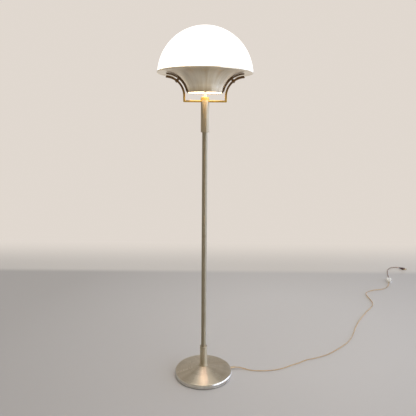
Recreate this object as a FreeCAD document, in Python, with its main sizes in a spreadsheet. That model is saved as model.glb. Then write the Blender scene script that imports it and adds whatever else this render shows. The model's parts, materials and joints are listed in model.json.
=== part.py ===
import FreeCAD, Part
import math
import os
import Sketcher
from FreeCAD import Vector, Rotation, Placement

# Mushroom floor lamp: spun base with a cast weight, collar, pole, stem, flat-bar fork,
# spun trumpet shade, lift-off opal dome, screw lamp holder with bulb, and a clear cord
# with an in-line rocker switch and a two-pin plug.  Millimetres, +Z up, the origin on
# the floor on the pole's axis.

doc = FreeCAD.newDocument("mushroom_floor_lamp")
sheet = doc.addObject("Spreadsheet::Sheet", "Dims")

CELLS = [
    # base
    ("base_rad", 129.2, "outer radius of the base's rim band"),
    ("base_skin", 1.5, "wall of the spun base cover"),
    ("band_low", 3.0, "lower edge of the rim band"),
    ("band_top", 15.6, "top of the polished band"),
    ("cone_edge_rad", 125.2, "outer edge of the cone"),
    ("cone_edge_ht", 20.5, "height of the cone's outer edge"),
    ("cone_top_rad", 21.0, "flat at the cone's top"),
    ("cone_top_ht", 44.0, "height of the cone's top"),
    ("foot_in", 119.0, "inner radius of the foot ring"),
    ("foot_out", 128.3, "outer radius of the foot ring"),
    ("weight_rad", 118.0, "radius of the cast weight"),
    ("weight_low", 5.0, "underside of the weight"),
    ("weight_top", 17.0, "top of the weight's disc"),
    ("hub_rad", 24.0, "radius of the weight's hub"),
    ("recess_rad", 18.0, "radius of the nut recess"),
    ("recess_top", 25.0, "top of the nut recess"),
    ("chan_wid", 9.0, "width of the cable channel"),
    ("chan_top", 15.5, "top of the cable channel"),
    ("cable_ht", 10.0, "height of the cable in the base"),
    ("gland_turn", 14.0, "bearing of the cord's exit from +X"),
    ("felt_low", 3.0, "underside of the felt"),
    # threaded tube
    ("tube_rad", 5.0, "outer radius of the M10 threaded tubes"),
    ("tube_bore", 3.5, "bore radius of the M10 tubes"),
    # collar and pole
    ("flange_rad", 19.9, "radius of the foot flange"),
    ("flange_thk", 5.0, "thickness of the foot flange"),
    ("pole_rad", 11.1, "outer radius of the pole"),
    ("pole_bore", 9.65, "inner radius of the pole"),
    ("pole_top", 1104.0, "upper end of the pole"),
    ("collar_rad", 15.7, "outer radius of the lower collar"),
    ("collar_bore", 14.25, "inner radius of the lower collar"),
    ("collar_top", 125.5, "top of the lower collar"),
    ("ring_top", 137.5, "top of the collar's ring"),
    ("ring_rad", 16.1, "outer radius of the collar's ring"),
    ("bush_low", 102.0, "lower end of the collar's bush"),
    ("grub_ht", 116.0, "height of the set screw"),
    ("grub_turn", 235.0, "bearing of the set screw"),
    # stem
    ("stem_rad", 17.25, "outer radius of the stem"),
    ("stem_bore", 15.7, "inner radius of the stem's sleeve"),
    ("stem_low", 1091.0, "lower end of the sleeve"),
    ("stem_ring_low", 1087.6, "underside of the stem's end ring"),
    ("bar_low", 1208.0, "underside of the crossbar"),
    ("bar_thk", 7.0, "thickness of the flat bar"),
    ("bar_wid", 22.0, "width of the flat bar"),
    ("cap_top", 1227.5, "top of the cap over the crossbar"),
    ("nipple_top", 1262.0, "upper end of the upper threaded tube"),
    # fork and shade
    ("arc_x", 161.0, "centre of the arms' curve from the axis"),
    ("arc_z", 1231.0, "height of the centre of the arms' curve"),
    ("arm_near", 72.6, "radius of the arm's outer face"),
    ("arm_far", 80.8, "radius of the arm's inner face"),
    ("strip_near", 86.0, "radius of the saddle strip's free face"),
    ("strip_far", 88.9, "radius of the saddle strip's seat"),
    ("strip_wid", 16.0, "width of a saddle strip"),
    ("skin_near", 89.0, "radius of the trumpet's outside"),
    ("skin_far", 90.3, "radius of the trumpet's inside"),
    ("mouth_ht", 1245.8, "height of the trumpet's lower edge"),
    ("fix_turn", 128.0, "place of the shade screws on the curve, degrees"),
    ("spacer_rad", 5.0, "radius of a spacer"),
    ("screw_rad", 2.5, "radius of a shade screw"),
    ("rim_rad", 193.0, "outer radius of the trumpet's rim"),
    ("rim_bore", 191.8, "inner radius of the upturned rim"),
    ("rim_top", 1324.8, "top of the upturned rim"),
    # dome
    ("dome_rad", 191.9, "outer radius of the dome"),
    ("dome_thk", 3.0, "wall of the dome"),
    ("dome_ctr", 1308.1, "height of the dome's centre"),
    ("dome_low", 1321.4, "lower edge of the dome"),
    # lamp holder and bulb
    ("holder_low", 1250.0, "lower end of the lamp holder"),
    ("holder_mid", 1269.0, "joint of the holder's skirt and shell"),
    ("holder_top", 1299.0, "mouth of the lamp holder"),
    ("holder_rad", 19.8, "outer radius of the lamp holder"),
    ("thread_rad", 13.6, "inner radius of the holder's screw shell"),
    ("bulb_cap_rad", 13.2, "radius of the bulb's screw cap"),
    ("bulb_low", 1277.0, "lower edge of the bulb's cap"),
    ("bulb_neck", 1303.0, "upper edge of the bulb's cap"),
    ("bulb_rad", 30.0, "radius of the bulb's globe"),
    ("bulb_ctr", 1353.0, "height of the globe's centre"),
    # cord, switch and plug
    ("cord_rad", 3.0, "radius of the cord's tube"),
    ("inner_rad", 2.75, "radius of the cable in the pole"),
    ("sw_x", 1351.0, "place of the switch"),
    ("sw_y", 1220.0, "place of the switch"),
    ("sw_turn", 67.0, "bearing of the switch"),
    ("sw_len", 64.0, "length of the switch"),
    ("sw_wid", 32.0, "width of the switch"),
    ("sw_split", 9.0, "height of the joint between the shells"),
    ("sw_top", 19.0, "top of the upper shell"),
    ("sw_wall", 1.9, "wall of the shells"),
    ("sw_pin_ht", 13.6, "height of the rocker's pin"),
    ("sw_pin_rad", 1.2, "radius of the rocker's pin"),
    ("rock_half", 10.2, "half length of the rocker"),
    ("rock_wid", 11.0, "width of the rocker"),
    ("rock_rest", 7.0, "tilt of the rocker when the lamp is on"),
    ("plug_x", 1560.5, "place of the plug's cord end"),
    ("plug_y", 1514.0, "place of the plug's cord end"),
    ("plug_turn", -51.0, "bearing of the plug"),
    ("plug_len", 36.0, "length of the plug's body"),
    ("plug_wid", 26.0, "width of the plug's body"),
    ("plug_thk", 13.6, "thickness of the plug's body"),
    ("pin_rad", 2.0, "radius of a plug pin"),
    ("pin_len", 19.0, "length of a plug pin"),
    ("pin_gap", 18.6, "distance between the plug pins"),
]
for i, (alias, value, note) in enumerate(CELLS):
    row = str(i + 1)
    sheet.set("A" + row, note)
    sheet.set("B" + row, str(value))
    sheet.setAlias("B" + row, alias)
doc.recompute()


class Q:
    """A number that also carries the expression it came from."""

    def __init__(self, val, ex):
        self.val = float(val)
        self.ex = ex

    @staticmethod
    def of(v):
        return v if isinstance(v, Q) else Q(v, repr(float(v)))

    def __add__(self, o):
        o = Q.of(o)
        return Q(self.val + o.val, "(%s + %s)" % (self.ex, o.ex))

    def __radd__(self, o):
        return Q.of(o) + self

    def __sub__(self, o):
        o = Q.of(o)
        return Q(self.val - o.val, "(%s - %s)" % (self.ex, o.ex))

    def __rsub__(self, o):
        return Q.of(o) - self

    def __mul__(self, o):
        o = Q.of(o)
        return Q(self.val * o.val, "(%s * %s)" % (self.ex, o.ex))

    def __rmul__(self, o):
        return Q.of(o) * self

    def __truediv__(self, o):
        o = Q.of(o)
        return Q(self.val / o.val, "(%s / %s)" % (self.ex, o.ex))

    def __neg__(self):
        return Q(-self.val, "(0 - %s)" % self.ex)


class Dims:
    def __init__(self):
        for alias, value, note in CELLS:
            setattr(self, alias, Q(value, "Dims." + alias))


d = Dims()
PARTS = []          # the sub-parts, in order


def keep(obj, label):
    obj.Label = label
    PARTS.append(obj)
    return obj


def put(obj, x=0, y=0, z=0, rot=None):
    """Place an object; the base point is bound to the sheet."""
    x, y, z = Q.of(x), Q.of(y), Q.of(z)
    obj.Placement = Placement(Vector(x.val, y.val, z.val), rot or Rotation())
    for ax, q in (("x", x), ("y", y), ("z", z)):
        if "Dims" in q.ex:
            obj.setExpression(".Placement.Base." + ax, q.ex)
    return obj


def plane_of(body, role):
    for f in body.Origin.OriginFeatures:
        if f.Role == role:
            return f


def bind(sk, idx, q):
    if "Dims" in q.ex:
        sk.setExpression("Constraints[%d]" % idx, q.ex)


def fix_point(sk, geo, pos, x=None, y=None):
    """Tie a sketch point to the origin by its coordinates."""
    for kind, q, axis in (("DistanceX", x, -2), ("DistanceY", y, -1)):
        if q is None:
            continue
        if abs(q.val) < 1e-9:
            sk.addConstraint(Sketcher.Constraint("PointOnObject", geo, pos, axis))
        elif q.val > 0:
            bind(sk, sk.addConstraint(Sketcher.Constraint(kind, -1, 1, geo, pos, q.val)), q)
        else:
            q = -q
            bind(sk, sk.addConstraint(Sketcher.Constraint(kind, geo, pos, -1, 1, q.val)), q)


def sketch(body, name, role, verts, arcs=None):
    """Closed outline.  verts are (x, y) or (x, y, 'x'|'y'): the last names the only
    coordinate that is fixed, the other one follows from the arc that ends there.
    arcs maps an edge's index to (centre x, centre y, radius, clockwise)."""
    arcs = arcs or {}
    sk = body.newObject("Sketcher::SketchObject", name)
    sk.AttachmentSupport = [(plane_of(body, role), "")]
    sk.MapMode = "FlatFace"
    P = [(Q.of(v[0]), Q.of(v[1]), v[2] if len(v) > 2 else "xy") for v in verts]
    n = len(P)
    ends = []
    for i in range(n):
        a, b = P[i], P[(i + 1) % n]
        if i in arcs:
            cx, cy, r, cw = arcs[i]
            cx, cy, r = Q.of(cx), Q.of(cy), Q.of(r)
            a0 = math.atan2(a[1].val - cy.val, a[0].val - cx.val)
            a1 = math.atan2(b[1].val - cy.val, b[0].val - cx.val)
            if cw:
                a0, a1 = a1, a0
            while a1 <= a0:
                a1 += 2 * math.pi
            circle = Part.Circle(Vector(cx.val, cy.val, 0), Vector(0, 0, 1), r.val)
            g = sk.addGeometry(Part.ArcOfCircle(circle, a0, a1), False)
            ends.append((g, 2, 1) if cw else (g, 1, 2))
        else:
            g = sk.addGeometry(Part.LineSegment(Vector(a[0].val, a[1].val, 0),
                                                Vector(b[0].val, b[1].val, 0)), False)
            ends.append((g, 1, 2))
    for i in range(n):
        g, s, e = ends[i]
        g2, s2, e2 = ends[(i + 1) % n]
        sk.addConstraint(Sketcher.Constraint("Coincident", g, e, g2, s2))
    for i in range(n):
        g, s, e = ends[i]
        mode = P[i][2]
        fix_point(sk, g, s, P[i][0] if "x" in mode else None, P[i][1] if "y" in mode else None)
        if i in arcs:
            cx, cy, r, cw = arcs[i]
            fix_point(sk, g, 3, Q.of(cx), Q.of(cy))
            r = Q.of(r)
            bind(sk, sk.addConstraint(Sketcher.Constraint("Radius", g, r.val)), r)
    return sk


def ring_sketch(body, name, role, cx, cy, r):
    """A full circle."""
    sk = body.newObject("Sketcher::SketchObject", name)
    sk.AttachmentSupport = [(plane_of(body, role), "")]
    sk.MapMode = "FlatFace"
    cx, cy, r = Q.of(cx), Q.of(cy), Q.of(r)
    g = sk.addGeometry(Part.Circle(Vector(cx.val, cy.val, 0), Vector(0, 0, 1), r.val), False)
    fix_point(sk, g, 3, cx, cy)
    bind(sk, sk.addConstraint(Sketcher.Constraint("Radius", g, r.val)), r)
    return sk


def revolve(body, sk, name):
    f = body.newObject("PartDesign::Revolution", name)
    f.Profile = sk
    f.ReferenceAxis = (sk, ["V_Axis"])
    f.Angle = 360
    return f


def turned(name, verts, arcs=None, beads=()):
    """A lathe part: outline in the XZ plane turned about Z, with optional round beads."""
    body = doc.addObject("PartDesign::Body", name)
    revolve(body, sketch(body, name + "_outline", "XZ_Plane", verts, arcs), name + "_turn")
    for k, (cx, cz, r) in enumerate(beads):
        revolve(body, ring_sketch(body, "%s_bead%d" % (name, k), "XZ_Plane", cx, cz, r),
                "%s_beadturn%d" % (name, k))
    return body


def tube(name, ro, ri, z0, z1, ch=0.0):
    """A tube, its outer edges eased by ch."""
    if ch:
        return turned(name, [(ri, z0), (ro - ch, z0), (ro, z0 + ch), (ro, z1 - ch), (ro - ch, z1), (ri, z1)])
    return turned(name, [(ri, z0), (ro, z0), (ro, z1), (ri, z1)])


def padded(name, role, verts, depth, arcs=None):
    """An outline padded half to each side of its plane."""
    body = doc.addObject("PartDesign::Body", name)
    sk = sketch(body, name + "_outline", role, verts, arcs)
    f = body.newObject("PartDesign::Pad", name + "_pad")
    f.Profile = sk
    depth = Q.of(depth)
    f.Length = depth.val
    f.Midplane = True
    if "Dims" in depth.ex:
        f.setExpression("Length", depth.ex)
    return body


def prim(kind, name, rot=None, at=(0, 0, 0), **props):
    o = doc.addObject("Part::" + kind, name)
    for k, v in props.items():
        if k == "Polygon":
            o.Polygon = v
            continue
        q = Q.of(v)
        setattr(o, k, q.val)
        if "Dims" in q.ex:
            o.setExpression(k, q.ex)
    return put(o, at[0], at[1], at[2], rot)


def cut(name, base, *tools):
    if len(tools) > 1:
        t = doc.addObject("Part::MultiFuse", name + "_tools")
        t.Shapes = list(tools)
    else:
        t = tools[0]
    c = doc.addObject("Part::Cut", name)
    c.Base = base
    c.Tool = t
    return c


def fuse(name, *objs):
    f = doc.addObject("Part::MultiFuse", name)
    f.Shapes = list(objs)
    return f


def group(name, *objs):
    g = doc.addObject("Part::Compound", name)
    g.Links = list(objs)
    return g


def along(dx, dy, dz):
    """Rotation that takes +Z to a direction."""
    return Rotation(Vector(0, 0, 1), Vector(dx, dy, dz))


def radial(name, r, turn, z, r0, r1):
    """A cylinder on a horizontal radius of the lamp."""
    t = math.radians(turn.val)
    u = (math.cos(t), math.sin(t))
    return prim("Cylinder", name, along(u[0], u[1], 0), (Q.of(r0) * u[0], Q.of(r0) * u[1], z),
                Radius=r, Height=Q.of(r1) - r0)


def rounded(name, base, radius, pick):
    """Fillet on the edges that pick(edge) accepts."""
    doc.recompute()
    f = doc.addObject("Part::Fillet", name)
    f.Base = base
    f.Edges = [(i + 1, radius, radius) for i, e in enumerate(base.Shape.Edges) if pick(e)]
    return f


def is_dir(e, v):
    a, b = e.Vertexes[0].Point, e.Vertexes[-1].Point
    w = b.sub(a)
    return w.Length > 1e-6 and abs(abs(w.normalize().dot(v)) - 1) < 1e-6


# --------------------------------------------------------------------------- base
t = d.base_skin
cover = turned("base_cover_spun", [
    (d.base_rad, d.band_low), (d.base_rad, d.band_top), (d.base_rad - 0.7, d.band_top + 0.8),
    (d.cone_edge_rad + 1.2, d.cone_edge_ht - 0.8), (d.cone_edge_rad, d.cone_edge_ht),
    (d.cone_top_rad, d.cone_top_ht), (d.tube_rad + 0.3, d.cone_top_ht),
    (d.tube_rad + 0.3, d.cone_top_ht - t), (d.cone_top_rad - 0.2, d.cone_top_ht - t),
    (d.cone_edge_rad - 0.6, d.cone_edge_ht - 1.55), (d.base_rad - t - 0.4, d.band_top),
    (d.base_rad - t, d.band_top - 0.6), (d.base_rad - t, d.band_low)])
keep(cut("base_cover", cover,
         radial("cover_hole", 4.5, d.gland_turn, d.cable_ht, d.base_rad - 12, d.base_rad + 5)), "base_cover")

keep(turned("foot_ring", [
    (d.foot_in, 0), (d.foot_out - 0.8, 0), (d.foot_out, 0.8), (d.foot_out, d.band_low - 0.05),
    (d.base_rad - t - 0.1, d.band_low - 0.05), (d.base_rad - t - 0.1, d.band_low + 1.6),
    (d.base_rad - t - 2.6, d.band_low + 1.6), (d.base_rad - t - 2.6, d.band_low - 0.4),
    (d.foot_in, d.band_low - 0.4)]), "foot_ring")

weight = turned("weight_cast", [
    (d.recess_rad, d.weight_low), (d.weight_rad - 1.5, d.weight_low), (d.weight_rad, d.weight_low + 1.5),
    (d.weight_rad, d.weight_top - 2), (d.weight_rad - 2, d.weight_top), (d.hub_rad + 3, d.weight_top),
    (d.hub_rad, d.weight_top + 3), (d.hub_rad - 3.7, d.cone_top_ht - t - 0.05),
    (d.tube_rad + 0.3, d.cone_top_ht - t - 0.05), (d.tube_rad + 0.3, d.recess_top),
    (d.recess_rad, d.recess_top)])
gt = math.radians(d.gland_turn.val)
gx, gy = math.cos(gt), math.sin(gt)
spin = Rotation(Vector(0, 0, 1), d.gland_turn.val)


def on_channel(r, side, z):
    """A point on the cable channel's line: r outwards, side to its left."""
    r, side = Q.of(r), Q.of(side)
    return (r * gx - side * gy, r * gy + side * gx, z)


chan = prim("Box", "cable_channel", spin, on_channel(10, d.chan_wid * -0.5, d.weight_low - 1),
            Length=d.weight_rad - 5, Width=d.chan_wid, Height=d.chan_top - d.weight_low + 1)
pocket = prim("Box", "clamp_pocket", spin, on_channel(74, -17, d.weight_low - 1),
              Length=12, Width=34, Height=3.3)
tap1 = prim("Cylinder", "clamp_tap_a", None, on_channel(80, 11.5, d.weight_low), Radius=1.55, Height=10)
tap2 = prim("Cylinder", "clamp_tap_b", None, on_channel(80, -11.5, d.weight_low), Radius=1.55, Height=10)
keep(cut("base_weight", weight, chan, pocket, tap1, tap2), "base_weight")

keep(tube("base_felt", d.weight_rad, d.recess_rad + 1, d.felt_low, d.weight_low - 0.05), "base_felt")
keep(tube("base_washer", 14.0, d.tube_rad + 0.2, d.recess_top - 1.5, d.recess_top), "base_washer")
hexa = prim("Prism", "base_nut_hex", None, (0, 0, d.recess_top - 5.5), Polygon=6, Circumradius=9.8, Height=4)
hexh = prim("Cylinder", "base_nut_hole", None, (0, 0, d.recess_top - 6), Radius=d.tube_rad + 0.02, Height=6)
keep(cut("base_nut", hexa, hexh), "base_nut")
keep(tube("base_nipple", d.tube_rad, d.tube_bore, 19.3, 70.0, 0.5), "base_nipple")

# cord gland: a collar inside the rim, a neck through it and a tapered nose, turned
# about its own axis and laid on the channel's line
g0 = d.base_rad
gland = turned("gland_turned", [
    (3.05, -5), (5.2, -5), (5.2, -1.7), (4.4, -1.7), (4.4, 0.2), (5.8, 0.2), (5.8, 1.5),
    (5.2, 3.5), (4.1, 24), (3.05, 24)])
gland.Label = "cord_gland"
put(gland, g0 * gx, g0 * gy, d.cable_ht, along(gx, gy, 0))
PARTS.append(gland)

clamp = prim("Box", "clamp_bar", spin, on_channel(75.5, -15.5, d.weight_low + 1.2),
             Length=9, Width=31, Height=1.0)
h1 = prim("Cylinder", "clamp_hole_a", None, on_channel(80, 11.5, d.weight_low), Radius=1.6, Height=5)
h2 = prim("Cylinder", "clamp_hole_b", None, on_channel(80, -11.5, d.weight_low), Radius=1.6, Height=5)
keep(cut("cord_clamp", clamp, h1, h2), "cord_clamp")


def small_screw(name, x, y, z, rs, ls, rh, lh, rot=None):
    """Screw with its head's top at the place, the shank along the local +Z."""
    rs, ls, rh, lh = Q.of(rs), Q.of(ls), Q.of(rh), Q.of(lh)
    b = turned(name, [(0, 0), (rh - 0.4, 0), (rh, 0.4), (rh, lh), (rs, lh), (rs, ls - 0.4), (rs - 0.4, ls), (0, ls)])
    return put(b, x, y, z, rot)


p1, p2 = on_channel(80, 11.5, d.weight_low), on_channel(80, -11.5, d.weight_low)
keep(group("clamp_screws",
           small_screw("clamp_screw_a", p1[0], p1[1], d.weight_low + 0.05, 1.5, 8.5, 2.8, 1.12),
           small_screw("clamp_screw_b", p2[0], p2[1], d.weight_low + 0.05, 1.5, 8.5, 2.8, 1.12)), "clamp_screws")

# ----------------------------------------------------------------- collar and pole
f0 = d.cone_top_ht
f1 = d.cone_top_ht + d.flange_thk
keep(turned("foot_flange", [
    (d.tube_rad + 0.3, f0), (d.flange_rad, f0), (d.flange_rad, f0 + 2.2), (d.flange_rad - 1.2, f1 - 0.4),
    (d.flange_rad - 2.2, f1), (d.tube_rad + 0.3, f1)]), "foot_flange")
keep(tube("pole_plug_lower", d.pole_bore - 0.03, d.tube_rad + 0.02, f1, f1 + 24, 0.5), "pole_plug_lower")
pole = tube("pole_drawn", d.pole_rad, d.pole_bore, f1, d.pole_top)
keep(pole, "pole")
gturn = math.radians(d.grub_turn.val)
collar = tube("collar_turned", d.collar_rad, d.collar_bore, f1, d.collar_top, 0.3)
keep(cut("lower_collar", collar,
         radial("collar_tap", 2.05, d.grub_turn, d.grub_ht, 10, 20)), "lower_collar")
keep(turned("collar_ring", [
    (d.collar_bore, d.collar_top + 0.15), (d.ring_rad - 0.5, d.collar_top + 0.15),
    (d.ring_rad, d.collar_top + 0.7), (d.ring_rad, d.ring_top - 1.0), (d.ring_rad - 0.9, d.ring_top),
    (d.collar_bore + 0.2, d.ring_top), (d.collar_bore, d.ring_top - 0.3)]), "collar_ring")
bush = tube("bush_turned", d.collar_bore - 0.04, d.pole_rad + 0.05, d.bush_low, d.ring_top - 1.2, 0.3)
keep(cut("collar_bush", bush, radial("bush_hole", 2.1, d.grub_turn, d.grub_ht, 9, 18)), "collar_bush")
grub = radial("grub_body", 1.98, d.grub_turn, d.grub_ht, d.pole_rad + 0.02, d.collar_rad + 0.1)
slot = prim("Box", "grub_slot", Rotation(Vector(0, 0, 1), d.grub_turn.val),
            (d.collar_rad * math.cos(gturn) - 0.9 * math.cos(gturn) + 0.3 * math.sin(gturn),
             d.collar_rad * math.sin(gturn) - 0.9 * math.sin(gturn) - 0.3 * math.cos(gturn), d.grub_ht - 3),
            Length=2, Width=0.6, Height=6)
keep(cut("collar_set_screw", grub, slot), "collar_set_screw")

# ---------------------------------------------------------------------------- stem
keep(turned("stem_ring", [
    (d.pole_rad + 0.04, d.stem_ring_low), (d.stem_rad - 1.0, d.stem_ring_low), (d.stem_rad, d.stem_ring_low + 1.0),
    (d.stem_rad, d.stem_low - 0.05), (d.stem_bore - 0.04, d.stem_low - 0.05), (d.stem_bore - 0.04, d.pole_top + 4),
    (d.tube_rad + 0.1, d.pole_top + 4), (d.tube_rad + 0.1, d.pole_top + 0.02), (d.pole_rad + 0.04, d.pole_top + 0.02)]),
    "stem_ring")
c0 = d.bar_low + d.bar_thk
# the sleeve reaches the bar's upper face, and the bar lies in two slots of its open end
sleeve = tube("sleeve_tube", d.stem_rad, d.stem_bore, d.stem_low, c0)
keep(cut("stem_sleeve", sleeve,
         prim("Box", "sleeve_slots", None, (-25, d.bar_wid * -0.5 - 0.1, d.bar_low),
              Length=50, Width=d.bar_wid + 0.2, Height=d.bar_thk + 2)), "stem_sleeve")
keep(tube("pole_plug_upper", d.pole_bore - 0.03, d.tube_rad + 0.02, d.pole_top - 24, d.pole_top, 0.5), "pole_plug_upper")
keep(tube("upper_nipple", d.tube_rad, d.tube_bore, d.pole_top - 22, d.nipple_top, 0.6), "upper_nipple")
keep(tube("stem_top_plug", d.stem_bore - 0.04, d.tube_rad + 0.1, d.bar_low - 12, d.bar_low - 0.02, 0.4), "stem_top_plug")
keep(turned("crossbar_cap", [
    (d.tube_rad + 0.1, c0 + 0.02), (d.stem_rad, c0 + 0.02), (d.stem_rad, d.cap_top - 1.6),
    (d.stem_rad - 1.6, d.cap_top), (d.tube_rad + 0.1, d.cap_top)]), "crossbar_cap")

# ---------------------------------------------------------------------------- fork
ax, az = d.arc_x, d.arc_z
tip_a = math.radians(91.5)
tip_b = math.radians(94.5)
an, af = d.arm_near, d.arm_far
R1 = (ax + an * math.cos(tip_a), az + an * math.sin(tip_a), "x")
R2 = (ax + af * math.cos(tip_b), az + af * math.sin(tip_b), "x")
L1 = (-R1[0], R1[1], "x")
L2 = (-R2[0], R2[1], "x")
fork_verts = [
    (an - ax, d.bar_low), (ax - an, d.bar_low),
    (ax - an, az, "y"), R1, R2, (ax - af, az, "y"),
    (ax - af, c0), (af - ax, c0),
    (af - ax, az, "y"), L2, L1, (an - ax, az, "y")]
fork_arcs = {2: (ax, az, an, True), 4: (ax, az, af, False),
             8: (-ax, az, af, False), 10: (-ax, az, an, True)}
fork = padded("fork_bent", "XZ_Plane", fork_verts, d.bar_wid, fork_arcs)
fx = math.radians(d.fix_turn.val)
ux, uz = math.cos(fx), math.sin(fx)


def on_screw(s, r):
    """A point on a shade screw's line, s = 1 for the right arm and -1 for the left."""
    r = Q.of(r)
    return ((ax + r * ux) * s, 0, az + r * uz)


def screw_line(name, s, rad, r0, r1):
    return prim("Cylinder", name, along(ux * s, 0, uz), on_screw(s, r0), Radius=rad, Height=Q.of(r1) - r0)


keep(cut("fork", fork,
         screw_line("fork_hole_right", 1, d.screw_rad + 0.1, an - 10, af + 10),
         screw_line("fork_hole_left", -1, d.screw_rad + 0.1, an - 10, af + 10),
         prim("Cylinder", "fork_hole_mid", None, (0, 0, d.bar_low - 5), Radius=d.tube_rad + 0.1, Height=20)), "fork")

sa, sb = math.radians(93.0), math.radians(168.0)
for side, s in (("right", 1), ("left", -1)):
    sn, sf = d.strip_near, d.strip_far
    verts = [((ax + sn * math.cos(sb)) * s, az + sn * math.sin(sb), "y"),
             ((ax + sn * math.cos(sa)) * s, az + sn * math.sin(sa), "x"),
             ((ax + sf * math.cos(sa)) * s, az + sf * math.sin(sa), "x"),
             ((ax + sf * math.cos(sb)) * s, az + sf * math.sin(sb), "y")]
    cw = s > 0
    body = padded("strip_" + side, "XZ_Plane", verts, d.strip_wid,
                  {0: (ax * s, az, sn, cw), 2: (ax * s, az, sf, not cw)})
    keep(cut("saddle_" + side, body,
             screw_line("saddle_hole_" + side, s, d.screw_rad + 0.1, sn - 10, sf + 10)), "saddle_" + side)
    # spacer between the arm and the strip, its ends hollowed to their curves
    rod = screw_line("spacer_rod_" + side, s, d.spacer_rad, af - 6, sn + 6)
    drum = prim("Cylinder", "spacer_drum_" + side, Rotation(Vector(1, 0, 0), 90), (ax * s, 20, az),
                Radius=sn - 0.02, Height=40)
    core = prim("Cylinder", "spacer_core_" + side, Rotation(Vector(1, 0, 0), 90), (ax * s, 25, az),
                Radius=af + 0.02, Height=50)
    com = doc.addObject("Part::Common", "spacer_blank_" + side)
    com.Base = rod
    com.Tool = drum
    keep(cut("spacer_" + side, com, core,
             screw_line("spacer_bore_" + side, s, d.screw_rad + 0.1, af - 10, sn + 10)), "spacer_" + side)

screws, nuts = [], []
for side, s in (("right", 1), ("left", -1)):
    p = on_screw(s, an - 3.4)
    screws.append(small_screw("shade_screw_" + side, p[0], p[1], p[2], d.screw_rad, 26.0, 4.6, 3.0, along(ux * s, 0, uz)))
    p = on_screw(s, d.skin_far + 0.35)
    hx = prim("Prism", "shade_nut_hex_" + side, along(ux * s, 0, uz), p, Polygon=6, Circumradius=4.6, Height=4)
    hh = screw_line("shade_nut_hole_" + side, s, d.screw_rad + 0.02, d.skin_far - 2, d.skin_far + 8)
    nuts.append(cut("shade_nut_" + side, hx, hh))
keep(group("shade_screws", *screws), "shade_screws")
keep(group("shade_nuts", *nuts), "shade_nuts")

# ------------------------------------------------------------------- trumpet, dome
kn, kf = d.skin_near, d.skin_far
mz = d.mouth_ht
xn = ax.val - math.sqrt(kn.val ** 2 - (mz.val - az.val) ** 2)
xf = ax.val - math.sqrt(kf.val ** 2 - (mz.val - az.val) ** 2)
verts = [
    (xn, mz, "y"), (ax, az + kn, "x"), (d.rim_rad - 1.0, az + kn), (d.rim_rad, az + kn + 0.9),
    (d.rim_rad, d.rim_top - 0.4), (d.rim_rad - 0.4, d.rim_top), (d.rim_bore + 0.3, d.rim_top),
    (d.rim_bore, d.rim_top - 0.3), (d.rim_bore, az + kf), (ax, az + kf, "x"), (xf, mz, "y")]
trumpet = turned("trumpet_spun", verts, {0: (ax, az, kn, True), 9: (ax, az, kf, False)},
                 beads=[(71.35, mz - 0.6, 1.45)])
keep(cut("trumpet", trumpet,
         screw_line("trumpet_hole_right", 1, d.screw_rad + 0.1, kn - 10, kf + 10),
         screw_line("trumpet_hole_left", -1, d.screw_rad + 0.1, kn - 10, kf + 10)), "trumpet")

low = math.degrees(math.asin((d.dome_low.val - d.dome_ctr.val) / d.dome_rad.val))
outer = prim("Sphere", "dome_outer", None, (0, 0, d.dome_ctr), Radius=d.dome_rad, Angle1=low, Angle2=90, Angle3=360)
inner = prim("Sphere", "dome_inner", None, (0, 0, d.dome_ctr), Radius=d.dome_rad - d.dome_thk, Angle1=-90, Angle2=90, Angle3=360)
keep(cut("dome", outer, inner), "dome")

# ------------------------------------------------------------ lamp holder and bulb
hl, hm, ht, hr = d.holder_low, d.holder_mid, d.holder_top, d.holder_rad
keep(turned("holder_skirt", [
    (d.tube_rad + 0.05, hl), (8.0, hl), (8.6, hl + 0.6), (8.6, hl + 6), (hr - 2.5, hm - 5), (hr - 0.3, hm - 2.5),
    (hr - 0.3, hm), (hr - 2.2, hm), (hr - 2.2, hm - 2.2), (hr - 4.4, hm - 3.6), (7.0, hl + 8.0), (d.tube_rad + 0.05, hl + 8.0)]),
    "holder_skirt")
keep(turned("holder_shell", [
    (hr - 2.2, hm + 0.05), (hr - 0.3, hm + 0.05), (hr, hm + 0.5), (hr, ht - 4), (hr - 0.8, ht - 4), (hr - 0.8, ht - 1.0),
    (hr - 1.6, ht), (d.thread_rad + 2.4, ht), (d.thread_rad + 2.4, ht - 1.6), (hr - 2.2, ht - 1.6)]), "holder_shell")
keep(turned("holder_core", [
    (d.tube_rad, hm - 1.5), (hr - 2.4, hm - 1.5), (hr - 2.4, hm + 3.4), (d.thread_rad + 0.9, hm + 3.4),
    (d.thread_rad + 0.9, hm + 2.4), (d.tube_rad, hm + 2.4)]), "holder_core")
keep(turned("holder_thread", [
    (d.thread_rad - 2.6, hm + 2.5), (d.thread_rad + 0.7, hm + 2.5), (d.thread_rad + 0.7, ht - 1.0), (d.thread_rad, ht - 1.0),
    (d.thread_rad, hm + 3.2), (d.thread_rad - 2.6, hm + 3.2)]), "holder_thread")
tongue = prim("Box", "contact_tongue", None, (-3, -3, hm + 4.6), Length=6, Width=6, Height=0.5)
leg = prim("Box", "contact_leg", None, (-3, -3, hm + 2.45), Length=0.5, Width=6, Height=2.2)
keep(fuse("holder_contact", tongue, leg), "holder_contact")
terms = []
for k, s in (("a", 1), ("b", -1)):
    blk = prim("Box", "terminal_block_" + k, None, (s * 9.0 - 2.5, -3, hm - 5.2), Length=5, Width=6, Height=3.6)
    terms.append(blk)
keep(group("holder_terminals", *terms), "holder_terminals")

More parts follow.
